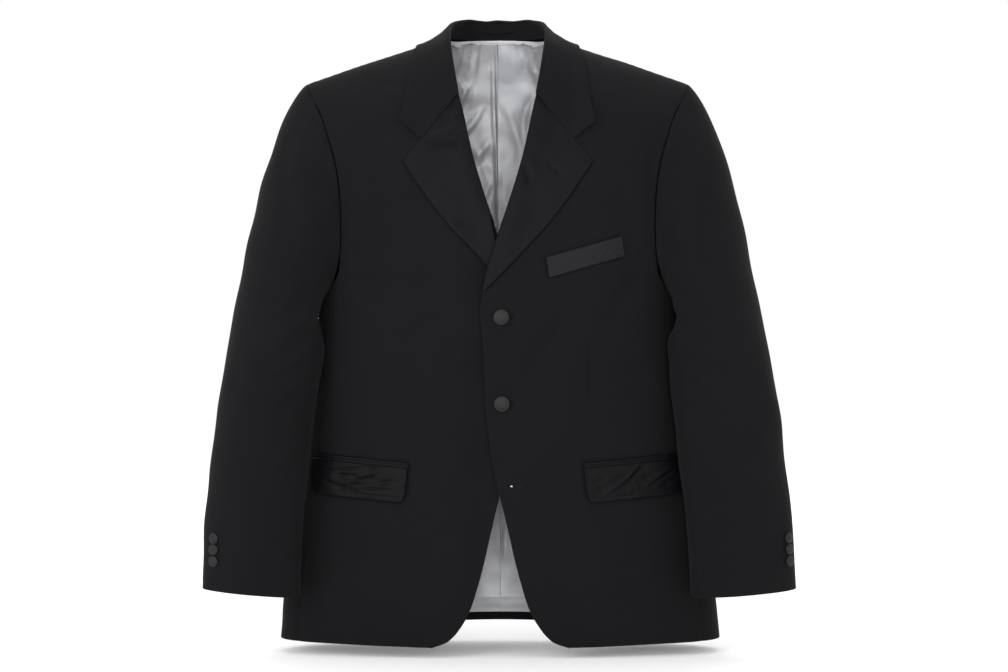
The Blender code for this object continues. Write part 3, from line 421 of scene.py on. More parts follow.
# Wrinkles of the back lining, measured towards their own side
LINING_WRINKLES = {
    "right": (
        Crease(0.0066, 0.055, 0.0002, -0.245, 0.0017, 0.0046, 0.5, 0.0),
        Crease(0.0285, 0.014, 0.033, -0.044, 0.0016, 0.002, 0.5, 0.03),
        Crease(0.017, 0.03, 0.029, 0.002, 0.002, 0.002, 0.5, 0.1),
        Crease(0.062, 0.026, 0.045, -0.014, 0.0042, 0.0044, 0.5, 0.08),
        Crease(0.052, 0.028, 0.064, -0.022, 0.004, 0.004, 0.4, -0.08),
        Crease(0.038, -0.038, 0.054, -0.078, 0.0038, 0.0042, 0.5, 0.06),
        Crease(0.058, -0.026, 0.044, -0.058, 0.0032, 0.0028, 0.5, -0.06),
        Crease(0.02, -0.07, 0.062, -0.118, 0.0043, 0.0033, 0.4, -0.06),
        Crease(0.004, -0.108, 0.038, -0.16, 0.0047, 0.002, 0.4, 0.05),
        Crease(0.044, -0.112, 0.012, -0.176, 0.0043, 0.0017, 0.4, -0.07),
        Crease(0.006, -0.168, 0.03, -0.226, 0.0051, 0.0018, 0.4, 0.05),
        Crease(0.03, -0.184, 0.008, -0.256, 0.0043, 0.0015, 0.4, 0.06),
        Crease(0.016, 0.012, 0.018, -0.016, 0.0026, 0.0012, 0.4, 0.04),
        Crease(0.028, 0.012, 0.032, -0.02, 0.0026, 0.0013, 0.4, -0.04),
        Crease(0.04, 0.01, 0.046, -0.018, 0.0028, 0.0012, 0.4, 0.04),
        Crease(0.09, -0.1, 0.06, -0.26, 0.0085, 0.0021, 0.4, 0.06),
        Crease(0.13, -0.14, 0.1, -0.33, 0.0102, 0.0023, 0.4, -0.05),
        Crease(0.02, -0.66, 0.07, -0.735, 0.008, 0.0022, 0.3, 0.06),
        Crease(0.06, -0.64, 0.01, -0.7, 0.007, 0.0018, 0.3, -0.05),
        Crease(0.15, -0.6, 0.11, -0.74, 0.011, 0.0024, 0.1, 0.05),
        Crease(0.05, -0.42, 0.09, -0.56, 0.012, 0.0024, 0.1, 0.05),
    ),
    "left": (
        Crease(0.046, 0.024, 0.06, -0.014, 0.0034, 0.0044, 0.5, 0.06),
        Crease(0.058, 0.01, 0.047, -0.03, 0.0036, 0.0036, 0.4, -0.08),
        Crease(0.048, -0.012, 0.056, -0.046, 0.0034, 0.0042, 0.5, 0.06),
        Crease(0.056, -0.05, 0.044, -0.12, 0.0045, 0.0034, 0.4, -0.08),
        Crease(0.026, 0.03, 0.029, 0.008, 0.0018, 0.0018, 0.5, 0.04),
        Crease(0.036, 0.03, 0.038, 0.012, 0.0016, 0.0014, 0.5, -0.04),
        Crease(0.04, -0.105, 0.05, -0.176, 0.0043, 0.0017, 0.4, 0.08),
        Crease(0.034, -0.16, 0.026, -0.236, 0.0047, 0.0017, 0.4, -0.07),
        Crease(0.0065, -0.64, 0.001, -0.668, 0.0022, 0.0024, 0.5, 0.05),
        Crease(0.0062, -0.652, 0.005, -0.69, 0.002, 0.0018, 0.5, 0.0),
        Crease(0.01, -0.07, 0.034, -0.15, 0.0076, 0.0024, 0.4, 0.06),
        Crease(0.008, -0.15, 0.022, -0.24, 0.0068, 0.0012, 0.4, -0.05),
        Crease(0.058, 0.006, 0.06, -0.022, 0.0026, 0.0012, 0.4, 0.04),
        Crease(0.03, 0.012, 0.034, -0.014, 0.0026, 0.001, 0.4, 0.04),
        Crease(0.095, -0.11, 0.07, -0.27, 0.0093, 0.0021, 0.4, 0.05),
        Crease(0.14, -0.15, 0.11, -0.32, 0.0102, 0.002, 0.4, -0.06),
        Crease(0.018, -0.65, 0.05, -0.742, 0.009, 0.002, 0.2, 0.05),
        Crease(0.09, -0.62, 0.06, -0.748, 0.01, 0.002, 0.1, -0.05),
        Crease(0.16, -0.61, 0.13, -0.745, 0.011, 0.0022, 0.1, 0.05),
        Crease(0.06, -0.4, 0.08, -0.54, 0.012, 0.0022, 0.1, 0.04),
    ),
}
COLLAR_CREASES = (
    Crease(0.06, 0.3, 0.16, 0.85, 0.05, 0.001, 0.1, 0.08),
    Crease(0.22, 0.25, 0.26, 0.9, 0.04, 0.0009, 0.1, -0.06),
    Crease(0.76, 0.28, 0.74, 0.88, 0.04, 0.001, 0.1, 0.06),
    Crease(0.93, 0.28, 0.85, 0.82, 0.05, 0.0009, 0.1, -0.08),
    Crease(0.45, 0.2, 0.47, 0.42, 0.03, 0.0009, 0.0, 0.05),
    Crease(0.56, 0.18, 0.55, 0.4, 0.03, 0.0008, 0.0, -0.05),
)

SEAM_DEPTH = 0.0006
SEAM_WIDTH = 0.0024
PUCKER = 0.00022
PUCKER_LENGTH = 0.0125
PUCKER_REACH = 0.0090
CREASE_FADE = 0.0110
FREE_EDGE_ROUND = 0.0007
LOOM_UNEVEN = 0.0007
LOOM_LENGTH = 0.085

STITCH_ROWS = (0.22, 0.40, 0.58, 0.76)
STITCH_ROW_DEPTH = 0.0008
LOOP_WIDTH = 0.0042

BUTTONHOLES = {
    "upper": (-0.0045, 0.0180, -0.359),
    "lower": (-0.0045, 0.0180, -0.469),
    "empty": (0.0095, 0.0370, -0.5745),
}
BUTTONHOLE_HALF_HEIGHT = 0.0016
BUTTONHOLE_THREAD = 0.00085
EYE_GROWTH = 1.5
THREAD_DOT_X = 0.0150
THREAD_RADIUS = 0.00045
THREAD_LENGTH = 0.0034

LENS = 70.3
SENSOR = 36.0
CAMERA = (0.0085, -2.6, -0.383)
FLOOR_DROP = 0.018
ROLL_LIFT = 0.0042
EDGE_LIFT = 0.0010
ROLL_BEYOND = 0.0022
ROLL_TURNS = (25, 50, 75, 90, 110, 135, 160, 180)
ROLL_INSIDE = (0.004, 0.010, 0.018)
ROLL_TUCK_LOW = -0.245

CollarBump = namedtuple("CollarBump", "along length height")
COLLAR_BUMPS = (
    CollarBump(0.40, 0.022, 0.001),
    CollarBump(0.455, 0.016, -0.0008),
    CollarBump(0.50, 0.020, 0.0009),
    CollarBump(0.56, 0.016, -0.0007),
    CollarBump(0.61, 0.024, 0.001),
)
STAND_STITCH = 0.0050
CUFF_VENT_TOP = -0.610
GATHER_LENGTH = 0.0105
GATHER_TOP = 0.016
JET_ROUND = 0.0009

BUTTON_CAP = (
    (0.035, 0.060),
    (0.060, 0.030),
    (0.050, -0.022),
    (0.050, 0.024),
    (0.200, 0.075),
    (0.250, 0.040),
)
BUTTON_UNDERSIDE = ((1.0, 0.16), (0.90, 0.09), (0.55, 0.04))
BUTTON_SHANK = 0.0022
# Two crossed basting stitches: how they lean, and how far apart they sit
THREAD_CROSS = ((0.7, 0.0), (-0.6, 0.0003))
LOOP_REACH = 0.13
LOOP_HEIGHT = 0.50
LOOP_SAG_SHARE = 0.16
LOOP_STAND_OFF = 0.0012
STAND_LOW = -0.05
EDGE_SINK = 0.0014
EDGE_SINK_WIDTH = 0.0021
LINING_SHARE = 0.988
LINING_STEP = -0.3
LINING_RISE = 0.0030
LINING_RISE_TO = 0.060
CREASE_LIP = 0.3
BAR_TACKS = (
    ("pocket_tack_left", 1, 0.1066, -0.5490, 0.0070),
    ("pocket_tack_right", -1, 0.1163, -0.5490, 0.0070),
    ("welt_tack_low", 1, 0.0628, -0.2970, 0.0080),
    ("welt_tack_high", 1, 0.1594, -0.2690, 0.0080),
)

# Each kind of sheet: the steps of its fine grid in a space of its cage, and its own chance pattern
SheetRow = namedtuple("SheetRow", "across up seed")
SHEETS = {
    "front": SheetRow(5, 6, 11),
    "back": SheetRow(4, 4, 31),
    "side_panel": SheetRow(3, 4, 51),
    "sleeve": SheetRow(4, 4, 71),
    "lapel": SheetRow(4, 4, 91),
    "collar": SheetRow(5, 6, 121),
    "stand": SheetRow(14, 6, 141),
    "lining": SheetRow(5, 5, 161),
    "flap": SheetRow(3, 5, 181),
    "jet": SheetRow(3, 8, 201),
    "welt": SheetRow(4, 4, 221),
}

FRONT_CAGE_COLUMNS = 22
# How creases and folds are shaped along their length and beside it
CREASE_NARROW_END = 0.7
CREASE_WIDENS = 0.6
CREASE_TAPER = 0.7
CREASE_SWELL = 0.22
SHARP_FALL = 1.7
LIP_PLACE = 1.8

# The row of stitches inside the front's free edge, and the short vent seam at the cuff
EDGE_STITCH_DEPTH = 0.0006
EDGE_STITCH_IN = 0.0065
EDGE_STITCH_WIDTH = 0.0016
EDGE_STITCH_FADE = 0.03
CUFF_VENT_DEPTH = 0.0008
CUFF_VENT_WIDTH = 0.004
CUFF_VENT_FADE = 0.02
SLEEVE_FADE_DEGREES = 25

LAPEL_START = 0.012
LAPEL_FULL_WIDTH = 0.05
ROLL_CREST = 0.010
ROLL_WIDTH = 0.017
EDGE_LIFT_SHARE = 0.20
LAPEL_UNEVEN = 0.0004
LAPEL_SEAM_FADE = 0.012
ROLL_TUCK_FADE = 0.03
COLLAR_UNEVEN = 0.0004
COLLAR_END_SHARE = 0.14
COLLAR_BUMP_SHARE = 0.16
STAND_UNEVEN = 0.0004
STITCH_ROW_WIDTH = 0.022

LINING_UNEVEN = 0.0009
LINING_WAVE = 0.045
LINING_EDGE_KEEP = 0.25
LINING_CLEAR = 0.0004
LINING_RISE_FADE = 0.012
LINING_LOWEST_ROW = 4
GATHER_DEPTH = 0.0007
GATHER_REACH = 0.030
LINING_HEM_DEPTH = 0.0004
LINING_HEM_IN = 0.020
LINING_HEM_WIDTH = 0.0020

FLAP_UNEVEN = 0.0005
FLAP_STITCH_DEPTH = 0.0004
FLAP_STITCH_IN = 0.0055
FLAP_STITCH_WIDTH = 0.0011
JET_UNEVEN = 0.00025
WELT_SWELL = 0.0007
WELT_TOP_LIFT = 0.0006
WELT_TOP_SHARE = 0.3
WELT_UNEVEN = 0.0003
WELT_STITCH_DEPTH = 0.00035
WELT_STITCH_IN = 0.0018
WELT_STITCH_WIDTH = 0.0009

# How closely wave bands lie in a material for threads of one metre, and the floor's own light
BAND_SCALE = 0.314
FLOOR_GLOW = 0.08
SHANK_RADIUS = 0.0022
SHANK_SUNK = 0.0004
STITCH_LIFT = 0.0007
NORMAL_STEP = 0.01
TACK_RADIUS = 0.0005
TACK_BEVEL = 0.0002
LOOP_THICKNESS = 0.0006

# What was cut for a sheet: its width, length and area
Cut = namedtuple("Cut", "width length area")


def smooth_share(x):
    """0 below 0, 1 above 1, and a smooth rise between."""
    x = min(max(x, 0.0), 1.0)
    return x * x * (3 - 2 * x)


def mix(a, b, share):
    return a + (b - a) * share


def read_row(rows, column, height):
    """One column of a table at a height, on a smooth curve through its rows."""
    heights = [row[0] for row in rows]
    values = [getattr(row, column) for row in rows]
    if heights[0] > heights[-1]:
        heights.reverse()
        values.reverse()
    height = min(max(height, heights[0]), heights[-1])
    i = max(k for k in range(len(heights) - 1) if heights[k] <= height)
    slopes = [
        (values[k + 1] - values[k]) / (heights[k + 1] - heights[k]) for k in range(len(heights) - 1)
    ]

    def tangent(k):
        if k in (0, len(heights) - 1):
            return slopes[min(k, len(slopes) - 1)]
        if slopes[k - 1] * slopes[k] <= 0:
            return 0.0
        return 2 * slopes[k - 1] * slopes[k] / (slopes[k - 1] + slopes[k])

    span = heights[i + 1] - heights[i]
    t = (height - heights[i]) / span
    start = values[i] * (1 + 2 * t) * (1 - t) ** 2 + tangent(i) * span * t * (1 - t) ** 2
    end = values[i + 1] * t * t * (3 - 2 * t) - tangent(i + 1) * span * t * t * (1 - t)
    return start + end


def fold_depth(rows, x, z):
    """How far the folds near a place of the front view press the cloth in."""
    total = 0.0
    for row in rows:
        start, run = Vector((row[0], row[1])), Vector((row[2] - row[0], row[3] - row[1]))
        share = (Vector((x, z)) - start).dot(run) / run.length_squared
        nearest = start + run * min(max(share, 0.0), 1.0)
        away = (Vector((x, z)) - nearest).length / row.width
        taper = math.sin(math.pi * min(max(share, 0.04), 0.96)) ** 0.7
        total += row.depth * taper * math.exp(-away * away)
    return total


def seam_point(x, half):
    """Depth and height of the edge where a column of a front (-1) or a back (+1) ends at the top."""
    if half > 0 and x < NECK_HALF:
        share = x / NECK_HALF
        depth = NECK_BACK_DEPTH * (1 - share**NECK_POWER) ** (1 / NECK_POWER)
        return depth, mix(NECK_BACK_HEIGHT, NECK_POINT_HEIGHT, share * share)
    return 0.0, NECK_POINT_HEIGHT - SHOULDER_SLOPE * (max(x, NECK_HALF) - NECK_HALF)


def body_depth(x, z, half):
    """Y of the cloth at a distance x from the centre and a height z."""
    reach = read_row(BODY, "half_width", z)
    column = "front_depth" if half < 0 else "back_depth"
    share = min(x / reach, 1.0)
    y = half * read_row(BODY, column, z) * (1 - share**SECTION_POWER) ** (1 / SECTION_POWER)
    top_y, top_z = seam_point(x, half)
    above = min(max((z - top_z + SHOULDER_ROUND) / SHOULDER_ROUND, 0.0), 1.0)
    return mix(top_y, y, math.sqrt(1 - above * above))


def sway(z):
    """The hem sits a little towards the wearer's left."""
    return HEM_SWAY * smooth_share(z / HEM)


def body_point(side, x, z, half):
    """A point of the cloth. x is measured towards its own side, and sides are 1 left and -1 right."""
    y = body_depth(abs(x), z, half)
    if half < 0:
        name = "left" if side > 0 else "right"
        y += fold_depth(FOLDS[name], x, z)
        if side < 0:
            y += OVERLAP_DROP * (1 - smooth_share((x - OVERLAP_FROM) / (OVERLAP_TO - OVERLAP_FROM)))
    return Vector((side * x + sway(z), y, z))


def normal_at(surface, a, b, outward, step=0.001):
    """The direction out of a surface given as a function of two numbers."""
    first = surface(a + step, b) - surface(a - step, b)
    second = surface(a, b + step) - surface(a, b - step)
    normal = first.cross(second).normalized()
    return normal if normal.dot(outward) > 0 else -normal


def on_front(side, x, z, lift):
    """A point lifted off a front, for what lies on it."""
    surface = lambda a, b: body_point(side, a, b, -1)
    return surface(x, z) + normal_at(surface, x, z, Vector((0, -1, 0))) * lift


def hem_height(x, half):
    """The hem dips a little at the front and rises at the back."""
    share = smooth_share(x / HEM_REACH)
    return mix(HEM - HEM_FRONT_DIP, HEM, share) if half < 0 else mix(HEM + HEM_BACK_RISE, HEM, share)


def section_angle(x, z):
    """Turns a distance from the centre into an angle round the body's section."""
    share = min(abs(x) / read_row(BODY, "half_width", z), 1.0)
    return math.copysign(math.asin(share ** (SECTION_POWER / 2)), x)


def section_x(angle, z):
    share = abs(math.sin(angle)) ** (2 / SECTION_POWER)
    return math.copysign(read_row(BODY, "half_width", z) * share, angle)


LOW_ROWS = (0.0, 0.004, 0.011, 0.022, 0.038, 0.062)
LOW_EVEN = 7
HIGH_EVEN = 5
ARCH_ROWS = 5


def panel_rows():
    """The levels of a front or back: (stage, share) from the hem to the shoulder."""
    rows = [("low", drop / (UNDERARM - HEM)) for drop in LOW_ROWS]
    first = rows[-1][1]
    rows += [("low", mix(first, 1.0, (k + 1) / LOW_EVEN)) for k in range(LOW_EVEN)]
    rows += [("high", (k + 1) / HIGH_EVEN) for k in range(HIGH_EVEN)]
    rows += [("arch", (k + 1) / ARCH_ROWS) for k in range(ARCH_ROWS)]
    return rows


def row_height(stage, share, x, half):
    top = seam_point(abs(x), half)[1]
    foot = top - SHOULDER_ROUND
    if stage == "low":
        return mix(hem_height(abs(x), half), UNDERARM, share)
    if stage == "high":
        return mix(UNDERARM, foot, share)
    return foot + SHOULDER_ROUND * math.sin(share * math.pi / 2)


def outer_edge(z, half):
    """How far out a front or back reaches: to the side seam, or to the armhole above it."""
    if z <= UNDERARM:
        return SIDE_SEAM * read_row(BODY, "half_width", z)
    return read_row(ARMHOLE, "front" if half < 0 else "back", z)


def panel_place(stage, share, across, half):
    """Distance from the centre and height of one grid point of a front or back."""
    z = UNDERARM
    x = 0.1
    for _ in range(12):
        z = row_height(stage, share, x, half)
        inner = read_row(FRONT_EDGE, "from_centre", z) if half < 0 else 0.0
        outer = outer_edge(z, half)
        if stage == "arch" and share == 1.0:
            inner = NECK_HALF if half < 0 else 0.0
            outer = SHOULDER_HALF
        if stage == "low":
            angle = mix(section_angle(inner, z), section_angle(outer, z), across)
            x = section_x(angle, z)
        else:
            low = section_x(mix(section_angle(inner, z), section_angle(outer, z), across), z)
            even = mix(inner, outer, across)
            x = low if stage == "high" and share < 0.01 else mix(low, even, 0.5)
    return x, z


BACK_COLUMNS = 8
SIDE_COLUMNS = 6


def side_place(side, share, across):
    """A point of the underarm panel: share runs up it and across runs from front to back."""
    drop = ARMHOLE_DROP * math.sin(math.pi * across)
    turn = mix(-1, 1, across) * (math.pi / 2 - math.asin(SIDE_SEAM ** (SECTION_POWER / 2)))
    half = -1 if turn < 0 else 1
    z = UNDERARM
    for _ in range(6):
        x = section_x(math.pi / 2 - abs(turn), z)
        z = mix(hem_height(x, half), UNDERARM - drop, share)
    return body_point(side, section_x(math.pi / 2 - abs(turn), z), z, half)


def armhole_ring(side):
    """The points round an armhole, from the shoulder down the front and up the back."""
    upper = [row for row in panel_rows() if row[0] != "low"]
    front = [body_point(side, *panel_place(*row, 1.0, -1), -1) for row in reversed(upper)]
    under = [side_place(side, 1.0, i / SIDE_COLUMNS) for i in range(SIDE_COLUMNS + 1)]
    back = [body_point(side, *panel_place(*row, 1.0, 1), 1) for row in upper]
    return front + under + back[:-1]


def clear_of_body(side, point, clearance):
    """Moves a point out of the body's section, level, so that it stays this far from the cloth."""
    x = side * (point.x - sway(point.z))
    half = -1 if point.y < 0 else 1
    reach = read_row(BODY, "half_width", point.z) + clearance
    depth = read_row(BODY, "front_depth" if half < 0 else "back_depth", point.z) + clearance
    share = (abs(x / reach) ** SECTION_POWER + abs(point.y / depth) ** SECTION_POWER) ** (
        1 / SECTION_POWER
    )
    if share >= 1 or point.z > PUSH_BELOW:
        return point
    grow = 1 / share
    return Vector((side * x * grow + sway(point.z), point.y * grow, point.z))


def sleeve_section(side_name, angle, z):
    """A point of the hanging part of a sleeve, at an angle round it and a height."""
    side = SIDES[side_name]
    rows = SLEEVES[side_name]
    outer, inner = read_row(rows, "outer", z), read_row(rows, "inner", z)
    middle, reach = (outer + inner) / 2, (outer - inner) / 2
    turn = math.radians(angle)
    y = -read_row(rows, "forward", z) - read_row(rows, "half_depth", z) * math.sin(turn)
    return Vector((side * (middle + reach * math.cos(turn)), y, z))


HEAD_ROWS = 8
ARM_ROWS = 9
RING = len(armhole_ring(1))


def seam_index(angle):
    return round(angle / 360 * RING)


def ring_angle(index, row):
    """The angle of a grid line round the sleeve. The hindarm seam turns outwards down the arm."""
    hindarm, forearm = seam_index(HINDARM_AT_ARMHOLE), seam_index(FOREARM_SEAM)
    start, forearm_angle = 360 * index / RING, 360 * forearm / RING
    if forearm <= index <= hindarm:
        end = mix(forearm_angle, HINDARM_AT_CUFF, (index - forearm) / (hindarm - forearm))
    else:
        past = index - hindarm + (RING if index < forearm else 0)
        end = mix(HINDARM_AT_CUFF, 360 + forearm_angle, past / (forearm + RING - hindarm))
        start += 360 if index < forearm else 0
    return mix(start, end, smooth_share((row - HEAD_ROWS) / ARM_ROWS))


def plain_sleeve_point(side_name, index, row, ring):
    """A point of a sleeve without its folds: index runs round it from the shoulder and row runs down it."""
    side = SIDES[side_name]
    angle = ring_angle(index % RING, row)
    cuff = mix(CUFF_INNER, CUFF_OUTER, (1 + math.cos(math.radians(angle))) / 2)
    if row > HEAD_ROWS:
        z = mix(SLEEVE_START, cuff, (row - HEAD_ROWS) / ARM_ROWS)
        point = clear_of_body(side, sleeve_section(side_name, angle, z), SLEEVE_CLEARANCE)
    else:
        end = clear_of_body(
            side, sleeve_section(side_name, angle, SLEEVE_START), SLEEVE_CLEARANCE
        )
        at_ring = ring[index % RING]
        away = Vector((0, at_ring.y, at_ring.z - HEAD_MIDDLE)).normalized()
        leave = Vector((side * LEAVE_OUT, LEAVE_ROUND * away.y, -LEAVE_DOWN - LEAVE_FALL * abs(away.z)))
        leave.normalize()
        below = sleeve_section(side_name, angle, SLEEVE_START - HANG_STEP)
        hang = (below - sleeve_section(side_name, angle, SLEEVE_START)).normalized()
        far = (end - at_ring).length
        start = at_ring + Vector((side * ARMHOLE_GAP, 0, 0))
        t = row / HEAD_ROWS
        point = (
            start * (1 + 2 * t) * (1 - t) ** 2
            + leave * (LEAVE_STRENGTH * far * t * (1 - t) ** 2)
            + end * t * t * (3 - 2 * t)
            - hang * (HANG_STRENGTH * far * t * t * (1 - t))
        )
        if row > 0:
            point = clear_of_body(side, point, SLEEVE_CLEARANCE * min(1.0, row / 3))
    return point


PROFILE_STEPS = 14
PROFILE_TAIL = 4
PROFILE_DROP = 0.020


def shoulder_profile(x, half):
    """Depths and heights down a front or back at one distance from the centre, from the top."""
    top = seam_point(x, half)[1]
    turns = [math.pi / 2 * (1 - k / PROFILE_STEPS) for k in range(PROFILE_STEPS + 1)]
    heights = [top - SHOULDER_ROUND + SHOULDER_ROUND * math.sin(turn) for turn in turns]
    heights += [heights[-1] - PROFILE_DROP * (k + 1) for k in range(PROFILE_TAIL)]
    return [Vector((body_depth(x, z, half), z)) for z in heights]


def above_body(point, lift):
    """Lifts a point that is nearer to the body or the shoulders than this."""
    x = abs(point.x)
    profile = shoulder_profile(x, 1)
    if x >= NECK_HALF:
        profile = shoulder_profile(x, -1)[:0:-1] + profile
    elif point.y < 0:
        profile = shoulder_profile(x, -1)[::-1]
    flat = Vector((point.y, point.z))
    best = None
    for start, end in zip(profile, profile[1:]):
        run = end - start
        share = min(max((flat - start).dot(run) / run.length_squared, 0.0), 1.0)
        nearest = start + run * share
        out = Vector((-run.y, run.x)).normalized()
        if best is None or (flat - nearest).length < best[0]:
            best = (flat - nearest).length, nearest, out
    far, nearest, out = best
    if (flat - nearest).dot(out) < 0:
        far = -far
    if far >= lift:
        return point
    flat = nearest + out * lift
    return Vector((point.x, flat.x, flat.y))


COLLAR_ACROSS = (0.12, 0.3, 0.46, 0.62, 0.81, 1.0)
FOLD_TURNS = (180, 120, 60)
COLLAR_ROWS = 26
COLLAR_LIFT = 0.0037
STAND_REACH = 0.61


def collar_frame(position):
    """The collar table at a position from -1, its right end, to 1, its left end."""
    side = 1 if position >= 0 else -1
    place = abs(position) * (len(COLLAR) - 1)
    k = min(int(place), len(COLLAR) - 2)
    t = place - k
    before, start, end, after = (COLLAR[min(max(k + n, 0), len(COLLAR) - 1)] for n in (-1, 0, 1, 2))
    values = []
    for a, b, c, d in zip(before, start, end, after, strict=True):
        bow = (2 * a - 5 * b + 4 * c - d) * t + (3 * b - a - 3 * c + d) * t * t
        values.append(b + 0.5 * t * (c - a + bow))
    fold, edge, neck = (Vector(values[n : n + 3]) for n in (0, 3, 6))
    for point in (fold, edge, neck):
        point.x *= side
    return fold, edge, neck


def collar_directions(position):
    """The way up out of the fold, and the way outwards from it towards the collar's edge."""
    fold, edge, _ = collar_frame(position)
    front = smooth_share((abs(position) - 0.35) / 0.5)
    up = Vector((0, 0, 1)).lerp(Vector((math.copysign(0.15, position), -0.95, 0.2)), front)
    up.normalize()
    away = edge - fold
    away -= up * away.dot(up)
    return fold, edge, up, away.normalized()


def pocket_top(side_name, x):
    return POCKET_TOP + POCKET_RISE * (x - POCKET_INNER[side_name])


def smooth_array(x):
    x = np.clip(x, 0, 1)
    return x * x * (3 - 2 * x)


def press(lines, a, b):
    """How far creases press a sheet in, at places a and b of its own measure."""
    total = np.zeros_like(a)
    for from_a, from_b, to_a, to_b, width, depth, sharp, bow in lines:
        run_a, run_b = to_a - from_a, to_b - from_b
        length = math.hypot(run_a, run_b)
        along = ((a - from_a) * run_a + (b - from_b) * run_b) / length**2
        held = np.clip(along, 0, 1)
        offset = ((a - from_a) * run_b - (b - from_b) * run_a) / length
        offset = offset + bow * length * 4 * held * (1 - held)
        wide = width * (CREASE_NARROW_END + CREASE_WIDENS * held)
        past = (along - held) * length / wide
        away = np.hypot(offset / wide, past)
        taper = np.sin(math.pi * np.clip(along, 0.03, 0.97)) ** CREASE_TAPER
        swell = 1 + CREASE_SWELL * np.sin(9 * held + 90 * from_a)
        shape = (1 - sharp) * np.exp(-away * away) + sharp * np.exp(-SHARP_FALL * away)
        shape -= CREASE_LIP * np.exp(-((offset / wide - LIP_PLACE) ** 2) - past * past)
        total += depth * taper * swell * shape
    return total * cloth_settings().crease_strength


def sunk_along(border, x, z):
    """How far a panel sinks beside the edge of what lies on it, given as points of that edge."""
    nearest = np.full_like(x, 1.0)
    for (from_x, from_z), (to_x, to_z) in zip(border, border[1:]):
        run_x, run_z = to_x - from_x, to_z - from_z
        held = ((x - from_x) * run_x + (z - from_z) * run_z) / max(run_x**2 + run_z**2, 1e-9)
        held = np.clip(held, 0, 1)
        away = np.hypot(x - from_x - run_x * held, z - from_z - run_z * held)
        nearest = np.minimum(nearest, away)
    return EDGE_SINK * np.exp(-((nearest / EDGE_SINK_WIDTH) ** 2))


def edges_on_front(side_name):
    """The edges of the lapel, the pocket and the welt on a front, as rows of places."""
    heights = np.linspace(LAPEL_END, LAPEL_EDGE[-1].height, 25)
    yield [(read_row(LAPEL_EDGE, "outer", z), z) for z in heights]
    inner = POCKET_INNER[side_name]
    corners = (
        (POCKET_OUTER, JET_HEIGHT),
        (inner, JET_HEIGHT),
        (inner, 0.0),
        (inner + FLAP_LEAN, FLAP_CORNER - FLAP_DEPTH),
        (inner + FLAP_CORNER, -FLAP_DEPTH),
        (POCKET_OUTER, -FLAP_DEPTH),
    )
    yield [(x, pocket_top(side_name, x) + rise) for x, rise in corners]
    if side_name == "left":
        (x, z), rise = WELT_LEFT, WELT_LENGTH * WELT_RISE
        low, high = (x, z), (x + WELT_LENGTH, z + rise)
        lean = (-WELT_LEAN, WELT_HEIGHT)
        yield [low, high, (high[0] + lean[0], high[1] + lean[1]), (x + lean[0], z + lean[1]), low]


def uneven(a, b, seed, length, waves=14):
    """Gentle unevenness with waves of about this length, mostly between -1 and 1."""
    chance = np.random.default_rng(seed)
    total = np.zeros_like(a)
    for _ in range(waves):
        turn, start = chance.uniform(0, 2 * math.pi, 2)
        wave = length * chance.uniform(0.6, 1.9)
        total += np.sin((a * math.cos(turn) + b * math.sin(turn)) * 2 * math.pi / wave + start)
    return total / math.sqrt(waves)


def cubic_weights(places, count):
    """How much each line of a cage counts at each place, with both ends carried on smoothly."""
    weights = np.zeros((len(places), count + 2))
    for row, place in enumerate(places):
        k = min(max(int(place), 0), count - 2)
        t = place - k
        weights[row, k : k + 4] = (
            (-t + 2 * t * t - t**3) / 2,
            (2 - 5 * t * t + 3 * t**3) / 2,
            (t + 4 * t * t - 3 * t**3) / 2,
            (t**3 - t * t) / 2,
        )
    inner = weights[:, 1:-1].copy()
    inner[:, :3] += weights[:, :1] * np.array((3, -3, 1))
    inner[:, -3:] += weights[:, -1:] * np.array((1, -3, 3))
    return inner


def grid_lines(first, last, each, near=(0.12, 0.34, 0.64)):
    """Where the grid lines of a sheet lie in its cage, closer together at both ends."""
    count = round((last - first) * each)
    step = (last - first) / count
    ends = [first + step * n for n in near] + [last - step * n for n in near]
    return np.unique(np.round(np.concatenate((np.linspace(first, last, count + 1), ends)), 6))


def cage_of(columns, rows, place):
    """The points from place(i, j), with i and j running through these numbers."""
    return np.array([[tuple(place(i, j)) for j in rows] for i in columns])


def finer(cage, across, up):
    """A smooth surface through a cage, at these places across and up it."""
    first = cubic_weights(across, cage.shape[0])
    second = cubic_weights(up, cage.shape[1])
    return np.einsum("ai,bj,ijk->abk", first, second, cage)


def out_of(points, outward):
    """The direction out of a surface at each of its points."""
    across = np.gradient(points, axis=0, edge_order=2)
    up = np.gradient(points, axis=1, edge_order=2)
    normal = np.cross(across, up)
    size = np.linalg.norm(normal, axis=2, keepdims=True)
    normal = normal / np.maximum(size, 1e-12)
    flip = np.sum(normal * outward(points)) < 0
    return -normal if flip else normal


def measure(points):
    """How far each point is along its line of the grid, across and up."""
    across = np.linalg.norm(np.diff(points, axis=0), axis=2)
    up = np.linalg.norm(np.diff(points, axis=1), axis=2)
    across = np.concatenate((np.zeros((1, points.shape[1])), np.cumsum(across, axis=0)))
    up = np.concatenate((np.zeros((points.shape[0], 1)), np.cumsum(up, axis=1)), axis=1)
    return across, up


def from_borders(points):
    """How far each point of a sheet is from each of its four borders."""
    across, up = measure(points)
    return {
        "first": across,
        "last": across[-1:] - across,
        "low": up,
        "high": up[:, -1:] - up,
    }


